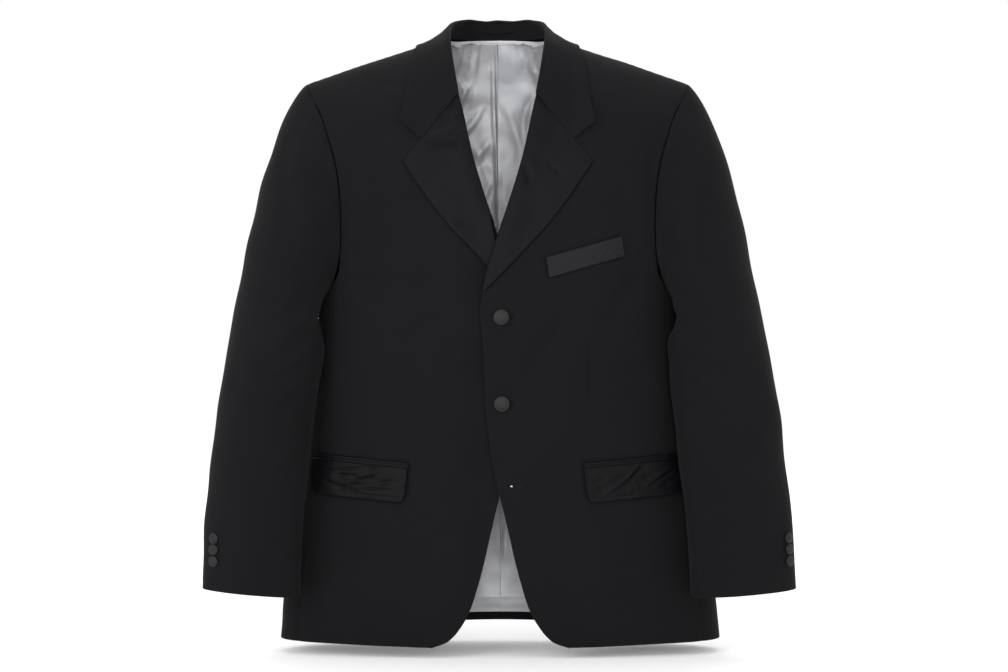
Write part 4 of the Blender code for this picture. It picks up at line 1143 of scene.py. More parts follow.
def sewn_relief(points, sewn, relief):
    """Adds the sunk line and the slight puckers of each sewn border, and quiets creases there."""
    across, up = measure(points)
    away = from_borders(points)
    for border in sewn:
        relief = relief * smooth_array(away[border] / CREASE_FADE)
    for border in sewn:
        along = up if border in ("first", "last") else across
        beat = np.sin(2 * math.pi * along / PUCKER_LENGTH + 1.3 * np.sin(along * 61))
        relief = relief + PUCKER * beat * np.exp(-away[border] / PUCKER_REACH) * smooth_array(
            away[border] / SEAM_WIDTH
        )
        relief = relief - cloth_settings().seam_depth * np.exp(-((away[border] / SEAM_WIDTH) ** 2))
    return relief


def waves(a, b, seed):
    """The slow waves of hanging cloth."""
    return cloth_settings().unevenness * uneven(a, b, seed, LOOM_LENGTH)


def lay_sheet(name, points, normals, thickness, material, lift=0.0, relief=0.0, sewn=()):
    """A closed sheet of cloth with a rounded edge: points lifted off what they lie on, and a back."""
    outer = points + normals * (lift + relief * np.ones(points.shape[:2]))[..., None]
    m, n = outer.shape[:2]
    inner = outer - normals * thickness
    ring = [(i, 0) for i in range(m)] + [(m - 1, j) for j in range(1, n)]
    ring += [(i, n - 1) for i in range(m - 2, -1, -1)] + [(0, j) for j in range(n - 2, 0, -1)]
    rows = np.array([i for i, _ in ring])
    columns = np.array([j for _, j in ring])
    steps_in = np.zeros((len(ring), 3))
    edge_push = np.zeros(len(ring))
    for border, at, di, dj in (
        ("first", rows == 0, 1, 0),
        ("last", rows == m - 1, -1, 0),
        ("low", columns == 0, 0, 1),
        ("high", columns == n - 1, 0, -1),
    ):
        i, j = rows[at], columns[at]
        step = outer[i + di, j + dj] - outer[i, j]
        steps_in[at] += step / np.maximum(np.linalg.norm(step, axis=1, keepdims=True), 1e-9)
        push = 0.0 if border in sewn else min(FREE_EDGE_ROUND, thickness / 2)
        edge_push[at] = np.maximum(edge_push[at], push)
    steps_in /= np.maximum(np.linalg.norm(steps_in, axis=1, keepdims=True), 1e-9)
    middle = (outer[rows, columns] + inner[rows, columns]) / 2
    rim = middle - steps_in * edge_push[:, None]
    verts = np.concatenate((outer.reshape(-1, 3), inner.reshape(-1, 3), rim))
    i, j = np.meshgrid(np.arange(m - 1), np.arange(n - 1), indexing="ij")
    corner = (i * n + j).ravel()
    front = np.stack((corner, corner + n, corner + n + 1, corner + 1), axis=1)
    back = front[:, ::-1] + m * n
    at_ring = rows * n + columns
    next_ring = np.roll(at_ring, -1)
    rim_at = 2 * m * n + np.arange(len(ring))
    rim_next = np.roll(rim_at, -1)
    outer_band = np.stack((at_ring, rim_at, rim_next, next_ring), axis=1)
    inner_band = np.stack((rim_at, at_ring + m * n, next_ring + m * n, rim_next), axis=1)
    faces = np.concatenate((front, back, outer_band, inner_band))
    middle_i, middle_j = m // 2, n // 2
    du = points[middle_i + 1, middle_j] - points[middle_i, middle_j]
    dv = points[middle_i, middle_j + 1] - points[middle_i, middle_j]
    if np.dot(np.cross(du, dv), normals[middle_i, middle_j]) < 0:
        faces = faces[:, ::-1]
    mesh = bpy.data.meshes.new(name)
    mesh.from_pydata(verts.tolist(), [], faces.tolist())
    across, up = measure(points)
    flat = np.stack((across - across[-1:] / 2, up), axis=2).reshape(-1, 2)
    flat = np.concatenate((flat, flat, flat[at_ring]))
    loops = np.zeros(len(mesh.loops), dtype=np.int32)
    mesh.loops.foreach_get("vertex_index", loops)
    layer = mesh.uv_layers.new(name="cloth_in_metres")
    layer.data.foreach_set("uv", flat[loops].astype(np.float32).ravel())
    mesh.shade_smooth()
    mesh.materials.append(material)
    obj = bpy.data.objects.new(name, mesh)
    bpy.context.scene.collection.objects.link(obj)
    return obj


def finish_sheet(obj, node):
    """Hides the part that the sheet replaces and attaches the sheet to the root."""
    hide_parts(node)
    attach(obj, "root")


def cage_rows():
    """The levels of a front or back, twice as close together as on the solids."""
    rows = panel_rows()
    close = [rows[0]]
    for before, after in zip(rows, rows[1:]):
        start = before[1] if before[0] == after[0] else 0.0
        close += [(after[0], (start + after[1]) / 2), after]
    return close


def away_from_axis(points):
    return points * (1, 1, 0)


def own_side(side, points):
    """The front view's measure of each point: from the centre towards its own side, and height."""
    z = points[..., 2]
    return side * (points[..., 0] - HEM_SWAY * smooth_array(z / HEM)), z


def press_folds(points, side_name):
    """Presses the solids' soft folds into cloth, straight back."""
    x, z = own_side(SIDES[side_name], points)
    rows = [Crease(*row, 0.0, 0.0) for row in FOLDS[side_name]]
    shaped = points.copy()
    shaped[..., 1] += plain_press(rows, x, z)
    return shaped


def plain_press(lines, a, b):
    """The solids' own folds, even along their length."""
    total = np.zeros_like(a)
    for row in lines:
        run_a, run_b = row.to_x - row.from_x, row.to_z - row.from_z
        square = run_a**2 + run_b**2
        share = ((a - row.from_x) * run_a + (b - row.from_z) * run_b) / square
        held = np.clip(share, 0, 1)
        away = np.hypot(a - row.from_x - run_a * held, b - row.from_z - run_b * held) / row.width
        taper = np.sin(math.pi * np.clip(share, 0.04, 0.96)) ** CREASE_TAPER
        total += row.depth * taper * np.exp(-away * away)
    return total


def plain_body_point(side, x, z, half):
    """A point of the body's cloth without its folds, with the right front set back."""
    y = body_depth(abs(x), z, half)
    if half < 0 and side < 0:
        y += OVERLAP_DROP * (1 - smooth_share((x - OVERLAP_FROM) / (OVERLAP_TO - OVERLAP_FROM)))
    return Vector((side * x + sway(z), y, z))


def body_sheet(side, half, rows, columns, grid, reach=1.0):
    """A front (-1) or back (+1) without its folds, as wide as this share of it."""

    def place(i, j):
        x, z = panel_place(*rows[j], i / columns, half)
        return plain_body_point(side, x, z, half)

    cage = cage_of(range(columns + 1), range(len(rows)), place)
    across = grid_lines(0, columns, grid.across) * reach
    return finer(cage, across, grid_lines(0, len(rows) - 1, grid.up))


def make_front_cloth(side_name, material):
    side = SIDES[side_name]
    points = body_sheet(side, -1, cage_rows(), FRONT_CAGE_COLUMNS, SHEETS["front"])
    points = press_folds(points, side_name)
    x, z = own_side(side, points)
    relief = -press(FRONT_CREASES[side_name], x, z)
    relief += waves(x, z, SHEETS["front"].seed + side)
    for border in edges_on_front(side_name):
        relief -= sunk_along(border, x, z)
    sewn = ("last", "high")
    relief = sewn_relief(points, sewn, relief)
    edge = from_borders(points)["first"]
    stitched = np.exp(-((edge - EDGE_STITCH_IN) / EDGE_STITCH_WIDTH) ** 2)
    relief -= EDGE_STITCH_DEPTH * stitched * smooth_array((LAPEL_END - z) / EDGE_STITCH_FADE)
    normals = out_of(points, away_from_axis)
    name = f"front_cloth_{side_name}"
    obj = lay_sheet(name, points, normals, CLOTH, material, relief=relief, sewn=sewn)
    finish_sheet(obj, f"front_{side_name}")


def make_back_cloth(side_name, material):
    side = SIDES[side_name]
    points = body_sheet(side, 1, cage_rows(), 2 * BACK_COLUMNS, SHEETS["back"])
    x, z = own_side(side, points)
    relief = -press(BACK_CREASES[side_name], x, z)
    relief += waves(x, z, SHEETS["back"].seed + side)
    sewn = ("first", "last", "high")
    relief = sewn_relief(points, sewn, relief)
    normals = out_of(points, away_from_axis)
    name = f"back_cloth_{side_name}"
    obj = lay_sheet(name, points, normals, CLOTH, material, relief=relief, sewn=sewn)
    finish_sheet(obj, f"back_{side_name}")


def make_side_cloth(side_name, material):
    side = SIDES[side_name]
    levels = [share for stage, share in cage_rows() if stage == "low"]
    columns = 2 * SIDE_COLUMNS

    def place(i, j):
        return side_place(side, levels[j], i / columns)

    cage = cage_of(range(columns + 1), range(len(levels)), place)
    grid = SHEETS["side_panel"]
    points = finer(cage, grid_lines(0, columns, grid.across), grid_lines(0, len(levels) - 1, grid.up))
    across, _ = measure(points)
    relief = -press(SIDE_CREASES[side_name], across, points[..., 2])
    relief += waves(across, points[..., 2], SHEETS["side_panel"].seed + side)
    sewn = ("first", "last", "high")
    relief = sewn_relief(points, sewn, relief)
    normals = out_of(points, away_from_axis)
    name = f"side_cloth_{side_name}"
    obj = lay_sheet(name, points, normals, CLOTH, material, relief=relief, sewn=sewn)
    finish_sheet(obj, f"side_panel_{side_name}")


def make_sleeve_cloth(side_name, part, material):
    """The top sleeve goes round the front from seam to seam, and the under sleeve the rest."""
    side = SIDES[side_name]
    ring = armhole_ring(side)
    hindarm, forearm = seam_index(HINDARM_AT_ARMHOLE), seam_index(FOREARM_SEAM)
    first, last = {"top": (hindarm - RING, forearm), "under": (forearm, hindarm)}[part]
    past = 2
    steps = range(first - past, last + past + 1)
    half_rows = [j / 2 for j in range(2 * (HEAD_ROWS + ARM_ROWS) + 1)]

    def place(i, j):
        return plain_sleeve_point(side_name, i % RING, j, ring)

    cage = cage_of(steps, half_rows, place)
    across = grid_lines(past, past + last - first, SHEETS["sleeve"].across)
    up = grid_lines(0, len(half_rows) - 1, SHEETS["sleeve"].up)
    wide = np.concatenate((across[:1] - 0.25, across, across[-1:] + 0.25))
    points = finer(cage, wide, up)
    turns = np.array([[ring_angle(i % RING, j) % 360 for j in half_rows] for i in steps])
    turns = np.unwrap(turns, period=360, axis=0)[..., None]
    turns = finer(turns, wide, up)[..., 0]
    shown = turns % 360
    x, z = side * points[..., 0], points[..., 2]
    fade = smooth_array((shown - SLEEVE_SHOWN[0]) / SLEEVE_FADE_DEGREES)
    fade *= smooth_array((SLEEVE_SHOWN[1] - shown) / SLEEVE_FADE_DEGREES)
    rows = [Crease(*row, 0.0, 0.0) for row in FOLDS[side_name]]
    points[..., 1] += fade * plain_press(rows, x, z)
    lines = [
        Crease(row.from_angle / 1000, row.from_z, row.to_angle / 1000, row.to_z, *row[4:])
        for row in SLEEVE_CREASES[side_name]
    ]
    relief = -press(lines, shown / 1000, z)
    relief += waves(turns / 1000, z, SHEETS["sleeve"].seed + side)
    normals = out_of(points, lambda p: p - (side * 0.29, -0.05, 0.0) - p * (0, 0, 1))
    points, normals, relief = points[1:-1], normals[1:-1], relief[1:-1]
    sewn = ("first", "last", "low")
    relief = sewn_relief(points, sewn, relief)
    if part == "under":
        away = from_borders(points)
        tuck = smooth_array((CUFF_VENT_TOP - points[..., 2]) / CUFF_VENT_FADE)
        relief -= CUFF_VENT_DEPTH * tuck * np.exp(-((away["last"] / CUFF_VENT_WIDTH) ** 2))
    name = f"{part}_sleeve_cloth_{side_name}"
    obj = lay_sheet(name, points, normals, CLOTH, material, relief=relief, sewn=sewn)
    finish_sheet(obj, f"{part}_sleeve_{side_name}")


def make_lapel_cloth(side_name, material):
    """The facing, from inside the front's edge round the roll to the lapel's own edge."""
    side = SIDES[side_name]
    columns, rows = 10, 28

    def place(i, j):
        share = mix(LAPEL_START, 1.0, j / rows)
        roll_z = mix(LAPEL_END, GORGE_TOP, share)
        edge_z = mix(LAPEL_END, LAPEL_EDGE[-1].height, share)
        roll_x = read_row(FRONT_EDGE, "from_centre", roll_z)
        edge_x = read_row(LAPEL_EDGE, "outer", edge_z)
        x, z = mix(roll_x, edge_x, i / columns), mix(roll_z, edge_z, i / columns)
        return plain_body_point(side, x, z, -1)

    cage = cage_of(range(columns + 1), range(rows + 1), place)
    up = grid_lines(0, rows, SHEETS["lapel"].up)
    flat = press_folds(finer(cage, grid_lines(0, columns, SHEETS["lapel"].across), up), side_name)
    out = out_of(flat, away_from_axis)
    across, _ = measure(flat)
    share = across / np.maximum(across[-1:], 1e-6)
    along = np.broadcast_to(up / rows, share.shape)
    width = across[-1:] * np.ones_like(across)
    full = smooth_array(width / LAPEL_FULL_WIDTH)
    raised = ROLL_LIFT * full * np.exp(-(((across - ROLL_CREST) / ROLL_WIDTH) ** 2))
    curl = smooth_array((share - 0.80) / EDGE_LIFT_SHARE)
    raised += EDGE_LIFT * full * curl * (0.6 + 0.4 * np.sin(along * 17 + side))
    raised -= press(LAPEL_CREASES[side_name], along, share) * full
    raised += LAPEL_UNEVEN * full * uneven(across, along * 0.3, SHEETS["lapel"].seed + side, 0.05)
    seam = from_borders(flat)["high"]
    raised = raised * smooth_array(seam / LAPEL_SEAM_FADE)
    laid = flat + out * (LYING_GAP + SATIN + raised)[..., None]
    ahead, normal = laid[1] - laid[0], out[0]
    ahead /= np.maximum(np.linalg.norm(ahead, axis=1, keepdims=True), 1e-9)
    reach = LYING_GAP + SATIN + CLOTH / 2
    centre = laid[0] - normal * reach
    deep = smooth_array((flat[0, :, 2] - ROLL_TUCK_LOW) / ROLL_TUCK_FADE)[:, None]
    turned = []
    for turn in ROLL_TURNS:
        bend = np.radians(min(turn, 90) + max(turn - 90, 0) * deep)
        turned.append(centre + normal * reach * np.cos(bend) - ahead * ROLL_BEYOND * np.sin(bend))
    end = centre - normal * reach * np.sin(deep * math.pi / 2) - ahead * ROLL_BEYOND * (1 - deep)
    turned += [end + ahead * tuck * deep for tuck in ROLL_INSIDE]
    points = np.concatenate((np.array(turned[::-1]), laid))
    normals = out_of(points, lambda p: p * 0 + out.mean(axis=(0, 1)))
    obj = lay_sheet(f"lapel_satin_{side_name}", points, normals, SATIN, material)
    finish_sheet(obj, f"lapel_{side_name}")


def make_collar_cloth(material):
    columns = len(FOLD_TURNS) + len(COLLAR_ACROSS) - 1

    def place(i, j):
        position = mix(-1, 1, j / COLLAR_ROWS)
        fold, edge, up, away = collar_directions(position)
        if i < len(FOLD_TURNS):
            turn = math.radians(FOLD_TURNS[i])
            ring = away * math.cos(turn) + up * math.sin(turn)
            return fold - up * FOLD_RADIUS + ring * FOLD_RADIUS
        across = COLLAR_ACROSS[i - len(FOLD_TURNS)]
        point = fold.lerp(edge, across)
        bend = smooth_share((abs(position) - 0.86) / COLLAR_END_SHARE)
        straight = fold.lerp(edge, NOTCH_ACROSS)
        notch = Vector((math.copysign(NOTCH_X, position), straight.y, NOTCH_Z))
        tent = across / NOTCH_ACROSS if across < NOTCH_ACROSS else (1 - across) / (1 - NOTCH_ACROSS)
        point += (notch - straight) * (bend * tent)
        return above_body(point, COLLAR_LIFT)

    cage = cage_of(range(columns + 1), range(COLLAR_ROWS + 1), place)
    up = grid_lines(0, COLLAR_ROWS, SHEETS["collar"].up)
    points = finer(cage, grid_lines(0, columns, SHEETS["collar"].across), up)
    across, _ = measure(points)
    share = across / across[-1:]
    along = np.broadcast_to(up / COLLAR_ROWS, share.shape)
    relief = -press(COLLAR_CREASES, along, share)
    relief += COLLAR_UNEVEN * uneven(across, along * 0.5, SHEETS["collar"].seed, 0.05)
    near_fold = np.exp(-((share / COLLAR_BUMP_SHARE) ** 2))
    for row in COLLAR_BUMPS:
        relief += row.height * np.exp(-(((along - row.along) / row.length) ** 2)) * near_fold
    away = from_borders(points)
    for border in ("low", "high"):
        relief = relief * smooth_array(away[border] / CREASE_FADE)
    normals = out_of(points, lambda p: p + (0, 0, 0.15))
    obj = lay_sheet("collar_fall_cloth", points, normals, CLOTH, material, relief=relief)
    finish_sheet(obj, "collar_fall")


def stand_point(position, share):
    """A point of the inside band, from the neck seam to the fold."""
    fold, _, up, away = collar_directions(position)
    _, _, neck = collar_frame(position)
    lip = fold - up * (FOLD_RADIUS + 4 * SEAM_GAP) - away * FOLD_RADIUS
    return neck.lerp(lip, share)


def make_stand_cloth(material):
    columns, rows = 3, 32

    def place(i, j):
        return stand_point(mix(-STAND_REACH, STAND_REACH, j / rows), mix(STAND_LOW, 1, i / columns))

    cage = cage_of(range(columns + 1), range(rows + 1), place)
    grid = SHEETS["stand"]
    points = finer(cage, grid_lines(0, columns, grid.across), grid_lines(0, rows, grid.up))
    across, up = measure(points)
    share = across / across[-1:]
    relief = STAND_UNEVEN * uneven(across, up, SHEETS["stand"].seed, 0.04)
    for row in STITCH_ROWS:
        beat = 0.55 + 0.45 * np.sign(np.sin(2 * math.pi * up / STAND_STITCH))
        relief -= STITCH_ROW_DEPTH * beat * np.exp(-(((share - row) / STITCH_ROW_WIDTH) ** 2))
    normals = out_of(points, lambda p: p * (-1, -1, 0))
    obj = lay_sheet("collar_stand_cloth", points, normals, LINING, material, relief=relief)
    finish_sheet(obj, "collar_stand")


def make_lining_cloth(side_name, material):
    side = SIDES[side_name]
    rows = cage_rows()[LINING_LOWEST_ROW:]
    points = body_sheet(side, 1, rows, 2 * BACK_COLUMNS, SHEETS["lining"], LINING_SHARE)
    normals = out_of(points, away_from_axis)
    x, z = own_side(side, points)
    inward = press(LINING_WRINKLES[side_name], x, z)
    inward += LINING_UNEVEN * (1 + uneven(x, z, SHEETS["lining"].seed + side, LINING_WAVE))
    gathers = np.sin(2 * math.pi * (x / GATHER_LENGTH + 0.6 * np.sin(x * 70)))
    inward += GATHER_DEPTH * (1 + gathers) * np.exp(-((GATHER_TOP - z) / GATHER_REACH) ** 2)
    away = from_borders(points)
    hem = np.exp(-(((away["low"] - LINING_HEM_IN) / LINING_HEM_WIDTH) ** 2))
    inward += LINING_HEM_DEPTH * hem
    for border in ("low", "last"):
        free = smooth_array(away[border] / CREASE_FADE)
        inward = inward * (LINING_EDGE_KEEP + (1 - LINING_EDGE_KEEP) * free)
    inward = inward * smooth_array((away["high"] + 0.001) / (CREASE_FADE / 2))
    inward = np.maximum(inward, 0) + np.maximum(press(BACK_CREASES[side_name], x, z), 0)
    inner = points - normals * (CLOTH + LINING_GAP + LINING + LINING_CLEAR + inward)[..., None]
    rise = LINING_RISE * (1 - smooth_array((x[:, -1] - LINING_RISE_TO) / LINING_RISE_FADE))
    top = inner[:, -1] + np.stack((0 * rise, LINING_STEP * rise, rise), axis=1)
    inner = np.concatenate((inner, (inner[:, -1:] + top[:, None]) / 2, top[:, None]), axis=1)
    facing = out_of(inner, lambda p: p * (-1, -1, 0))
    obj = lay_sheet(f"lining_silk_{side_name}", inner, facing, LINING, material)
    finish_sheet(obj, f"lining_{side_name}")


def laid_on_front(side, cage_place, columns, rows, grid):
    """A fine grid on a front, with the direction out of it, from places given as x and height."""

    def place(i, j):
        x, z = cage_place(i / columns, j / rows)
        return plain_body_point(side, x, z, -1)

    cage = cage_of(range(columns + 1), range(rows + 1), place)
    points = finer(cage, grid_lines(0, columns, grid.across), grid_lines(0, rows, grid.up))
    points = press_folds(points, "left" if side > 0 else "right")
    return points, out_of(points, away_from_axis)


def lay_trim(kind, side_name, points, normals, raised, material):
    """Lays a flap or a jet on its front."""
    name = f"{kind}_satin_{side_name}"
    obj = lay_sheet(name, points, normals, SATIN, material, lift=LYING_GAP + SATIN, relief=raised)
    finish_sheet(obj, f"{kind}_{side_name}")


def make_flap_cloth(side_name, material):
    side = SIDES[side_name]
    inner = POCKET_INNER[side_name]
    span = POCKET_OUTER - inner

    def cage_place(along, down):
        x = mix(inner + FLAP_LEAN * down, POCKET_OUTER, along)
        corner = max(0.0, 1 - along * span / FLAP_CORNER)
        depth = FLAP_DEPTH - FLAP_CORNER * (1 - math.sqrt(1 - corner * corner))
        return x, pocket_top(side_name, x) - down * depth

    points, normals = laid_on_front(side, cage_place, 42, 12, SHEETS["flap"])
    across, down = measure(points)
    share = down / down[:, -1:]
    rows = FLAP_FOLDS[side_name]
    raised = FLAP_SWELL * np.sin(math.pi * share / 1.6) - press(rows, across, down)
    for row in FLAP_CREASES[side_name]:
        line = Crease(*row, 0.0, 0.0)
        raised -= plain_press([line], across / span, share)
    raised += FLAP_UNEVEN * uneven(across, down, SHEETS["flap"].seed + side, 0.03) * smooth_array(share / 0.3)
    away = from_borders(points)
    edge = np.minimum(away["first"], away["high"])
    raised -= FLAP_STITCH_DEPTH * np.exp(-(((edge - FLAP_STITCH_IN) / FLAP_STITCH_WIDTH) ** 2))
    lay_trim("pocket_flap", side_name, points, normals, raised, material)


def make_jet_cloth(side_name, material):
    side = SIDES[side_name]

    def cage_place(along, up):
        x = mix(POCKET_INNER[side_name] - 0.001, POCKET_OUTER, along)
        return x, pocket_top(side_name, x) + SEAM_GAP + up * JET_HEIGHT

    points, normals = laid_on_front(side, cage_place, 30, 2, SHEETS["jet"])
    across, up = measure(points)
    share = up / up[:, -1:]
    raised = JET_ROUND * np.abs(np.sin(2 * math.pi * share)) ** 0.6
    raised += JET_UNEVEN * uneven(across, up, SHEETS["jet"].seed + side, 0.02)
    lay_trim("pocket_jet", side_name, points, normals, raised, material)


def make_welt_cloth(material):
    def cage_place(along, up):
        x = WELT_LEFT[0] + along * WELT_LENGTH
        z = WELT_LEFT[1] + along * WELT_LENGTH * WELT_RISE + up * WELT_HEIGHT
        return x - WELT_LEAN * up, z

    points, normals = laid_on_front(1, cage_place, 24, 6, SHEETS["welt"])
    across, up = measure(points)
    share = up / up[:, -1:]
    raised = WELT_SWELL * np.sin(math.pi * share)
    raised += WELT_TOP_LIFT * smooth_array((share - 0.7) / WELT_TOP_SHARE)
    raised -= press(WELT_FOLDS, across, up)
    raised += WELT_UNEVEN * uneven(across, up, SHEETS["welt"].seed, 0.03)
    away = from_borders(points)
    edge = np.minimum(np.minimum(away["first"], away["last"]), away["low"])
    raised -= WELT_STITCH_DEPTH * np.exp(-(((edge - WELT_STITCH_IN) / WELT_STITCH_WIDTH) ** 2))
    obj = lay_sheet(
        "chest_welt_satin", points, normals, SATIN, material, lift=LYING_GAP + SATIN, relief=raised
    )
    finish_sheet(obj, "chest_welt")


def deselect_all():
    if bpy.context.object and bpy.context.object.mode != "OBJECT":
        bpy.ops.object.mode_set(mode="OBJECT")
    bpy.ops.object.select_all(action="DESELECT")


def settle(obj, matrix):
    """Puts a piece modelled at the origin in its place, with the place in its mesh."""
    obj.data.transform(matrix)
    obj.matrix_world = Matrix.Identity(4)
    obj.data.update()


def model_covered_button(name, radius, material):
    """A cloth-covered button: a domed cap with a sunk ring, its cloth gathered in underneath."""
    deselect_all()
    bpy.ops.mesh.primitive_circle_add(vertices=24, radius=radius, fill_type="NGON", location=(0, 0, 0))
    obj = bpy.context.object
    obj.name = name
    obj.data.materials.append(material)
    bpy.ops.object.mode_set(mode="EDIT")
    bpy.ops.mesh.select_mode(type="FACE")
    bpy.ops.mesh.select_all(action="SELECT")
    for inset, rise in BUTTON_CAP:
        bpy.ops.mesh.inset(thickness=inset * radius, depth=0)
        bpy.ops.transform.translate(value=(0, 0, rise * radius))
    bpy.ops.object.mode_set(mode="OBJECT")
    for item in (*obj.data.polygons, *obj.data.edges):
        item.select = False
    for vert in obj.data.vertices:
        vert.select = math.hypot(vert.co.x, vert.co.y) > 0.995 * radius
    for edge in obj.data.edges:
        edge.select = all(obj.data.vertices[k].select for k in edge.vertices)
    bpy.ops.object.mode_set(mode="EDIT")
    bpy.ops.mesh.select_mode(type="EDGE")
    for shrink, drop in BUTTON_UNDERSIDE:
        bpy.ops.mesh.extrude_edges_move(TRANSFORM_OT_translate={"value": (0, 0, -drop * radius)})
        bpy.ops.transform.resize(value=(shrink, shrink, 1), center_override=(0, 0, 0))
    bpy.ops.mesh.edge_face_add()
    bpy.ops.mesh.select_all(action="SELECT")
    bpy.ops.mesh.normals_make_consistent(inside=False)
    bpy.ops.object.mode_set(mode="OBJECT")
    round_off = obj.modifiers.new("round", "SUBSURF")
    round_off.levels = round_off.render_levels = 2
    bpy.ops.object.modifier_apply(modifier=round_off.name)
    bpy.ops.object.shade_smooth()
    low = min(v.co.z for v in obj.data.vertices)
    obj.data.transform(Matrix.Translation((0, 0, -low)))
    return obj


def model_shank(name, radius, height, material):
    """The wound thread under a button, wider at both ends."""
    deselect_all()
    bpy.ops.mesh.primitive_cylinder_add(vertices=20, radius=radius, depth=height, location=(0, 0, height / 2))
    obj = bpy.context.object
    obj.name = name
    obj.data.materials.append(material)
    bpy.ops.object.mode_set(mode="EDIT")
    bpy.ops.mesh.select_all(action="SELECT")
    bpy.ops.mesh.bevel(offset=radius * 0.2, segments=2)
    bpy.ops.object.mode_set(mode="OBJECT")
    bpy.ops.object.shade_smooth_by_angle(angle=math.radians(40))
    return obj


def facing(normal, seat):
    """The place of something modelled lying flat at the origin, turned to face this way."""
    turn = Vector((0, 0, 1)).rotation_difference(Vector(normal)).to_matrix().to_4x4()
    return Matrix.Translation(Vector(seat)) @ turn


def finish_hard(obj, node=None):
    if node:
        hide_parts(node)
    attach(obj, "root")


def make_front_button_pieces(covered, thread):
    for level, z in FRONT_BUTTONS.items():
        seat = on_front(1, BUTTON_X, z, BUTTON_SEAT)
        normal = (on_front(1, BUTTON_X, z, NORMAL_STEP) - seat).normalized()
        cap = model_covered_button(f"front_button_cap_{level}", FRONT_BUTTON_RADIUS, covered)
        settle(cap, facing(normal, seat + normal * BUTTON_SHANK))
        finish_hard(cap, "front_button_" + level)
        height = BUTTON_SHANK + 3 * SHANK_SUNK
        shank = model_shank(f"front_button_shank_{level}", SHANK_RADIUS, height, thread)
        settle(shank, facing(normal, seat - normal * SHANK_SUNK))
        finish_hard(shank)


def make_cuff_button_pieces(side_name, covered):
    side = SIDES[side_name]
    for number, z in enumerate(CUFF_BUTTONS, 1):
        angle = CUFF_BUTTON_ANGLE[side_name]
        surface = lambda a, b: sleeve_section(side_name, a * 100, b)
        normal = normal_at(surface, angle / 100, z, Vector((side, -1, 0)))
        seat = surface(angle / 100, z) + normal * SEAM_GAP
        cap = model_covered_button(
            f"cuff_button_cap_{side_name}_{number}", CUFF_BUTTON_RADIUS, covered
        )
        settle(cap, facing(normal, seat))
        finish_hard(cap, f"cuff_button_{side_name}_{number}")


def model_buttonhole(name, length, thread):
    """A worked buttonhole along x: a raised stitched ring round a slit, with a wider eye at one end."""
    deselect_all()
    bpy.ops.mesh.primitive_torus_add(
        major_segments=96, minor_segments=8, major_radius=BUTTONHOLE_HALF_HEIGHT,
        minor_radius=BUTTONHOLE_THREAD, location=(0, 0, 0),
    )
    ring = bpy.context.object
    ring.name = name
    ring.data.materials.append(thread)
    half = length / 2 - BUTTONHOLE_HALF_HEIGHT
    for vert in ring.data.vertices:
        turn = math.atan2(vert.co.y, vert.co.x)
        out = math.hypot(vert.co.x, vert.co.y) - BUTTONHOLE_HALF_HEIGHT
        beat = 1 + 0.16 * math.sin(turn * 34)
        grow = EYE_GROWTH if vert.co.x < 0 else 1.0
        around = Vector((math.cos(turn), math.sin(turn), 0))
        vert.co = Vector((0, 0, vert.co.z * beat)) + around * (
            BUTTONHOLE_HALF_HEIGHT * (grow if abs(turn) > 2.2 else 1.0) + out * beat
        )
        vert.co.x += half if math.cos(turn) > 0 else -half
    ring.data.update()
    deselect_all()
    ring.select_set(True)
    bpy.context.view_layer.objects.active = ring
    bpy.ops.object.shade_smooth()
    return ring


def make_buttonholes(thread, white):
    for level, (low_x, high_x, z) in BUTTONHOLES.items():
        hole = model_buttonhole(f"buttonhole_{level}", high_x - low_x, thread)
        middle = (low_x + high_x) / 2
        for vert in hole.data.vertices:
            x, rise, up = vert.co.x + middle, vert.co.z, vert.co.y
            vert.co = on_front(1, x, z + up, max(rise, -BUTTONHOLE_THREAD * 0.5) + 0.0003)
        hole.data.update()
        finish_hard(hole)
    for number, (lean, shift) in enumerate(THREAD_CROSS, 1):
        deselect_all()
        bpy.ops.mesh.primitive_uv_sphere_add(
            segments=12, ring_count=8, radius=THREAD_RADIUS, location=(0, 0, 0)
        )
        stitch = bpy.context.object
        stitch.name = f"basting_stitch_{number}"
        stitch.data.materials.append(white)
        bpy.ops.object.shade_smooth()
        stretch = Matrix.Diagonal((THREAD_LENGTH / THREAD_RADIUS / 2, 1, 0.8, 1))
        seat = on_front(1, THREAD_DOT_X + shift, BUTTONHOLES["empty"][2], STITCH_LIFT)
        normal = on_front(1, THREAD_DOT_X, BUTTONHOLES["empty"][2], NORMAL_STEP) - seat
        settle(stitch, facing(normal.normalized(), seat) @ Matrix.Rotation(lean, 4, "Z") @ stretch)
        finish_hard(stitch)


def make_hanging_loop(material):
    """A narrow strip caught at both ends across the inside of the collar stand."""
    count = 40
    points = []
    for k in range(count + 1):
        share = k / count
        position = mix(-LOOP_REACH, LOOP_REACH, share)
        drop = 4 * share * (1 - share)
        base = stand_point(position, LOOP_HEIGHT - LOOP_SAG_SHARE * drop)
        above = stand_point(position, LOOP_HEIGHT - LOOP_SAG_SHARE * drop + LOOP_WIDTH / 0.030)
        inward = Vector((-base.x, -base.y, 0)).normalized()
        stand_off = 0.0007 + LOOP_STAND_OFF * drop
        line = [base.lerp(above, n / 4) + inward * stand_off for n in range(5)]
        points.append([tuple(p) for p in line])
    points = np.array(points)
    normals = out_of(points, lambda p: p * (-1, -1, 0))
    obj = lay_sheet("hanging_loop", points, normals, LOOP_THICKNESS, material)
    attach(obj, "root")


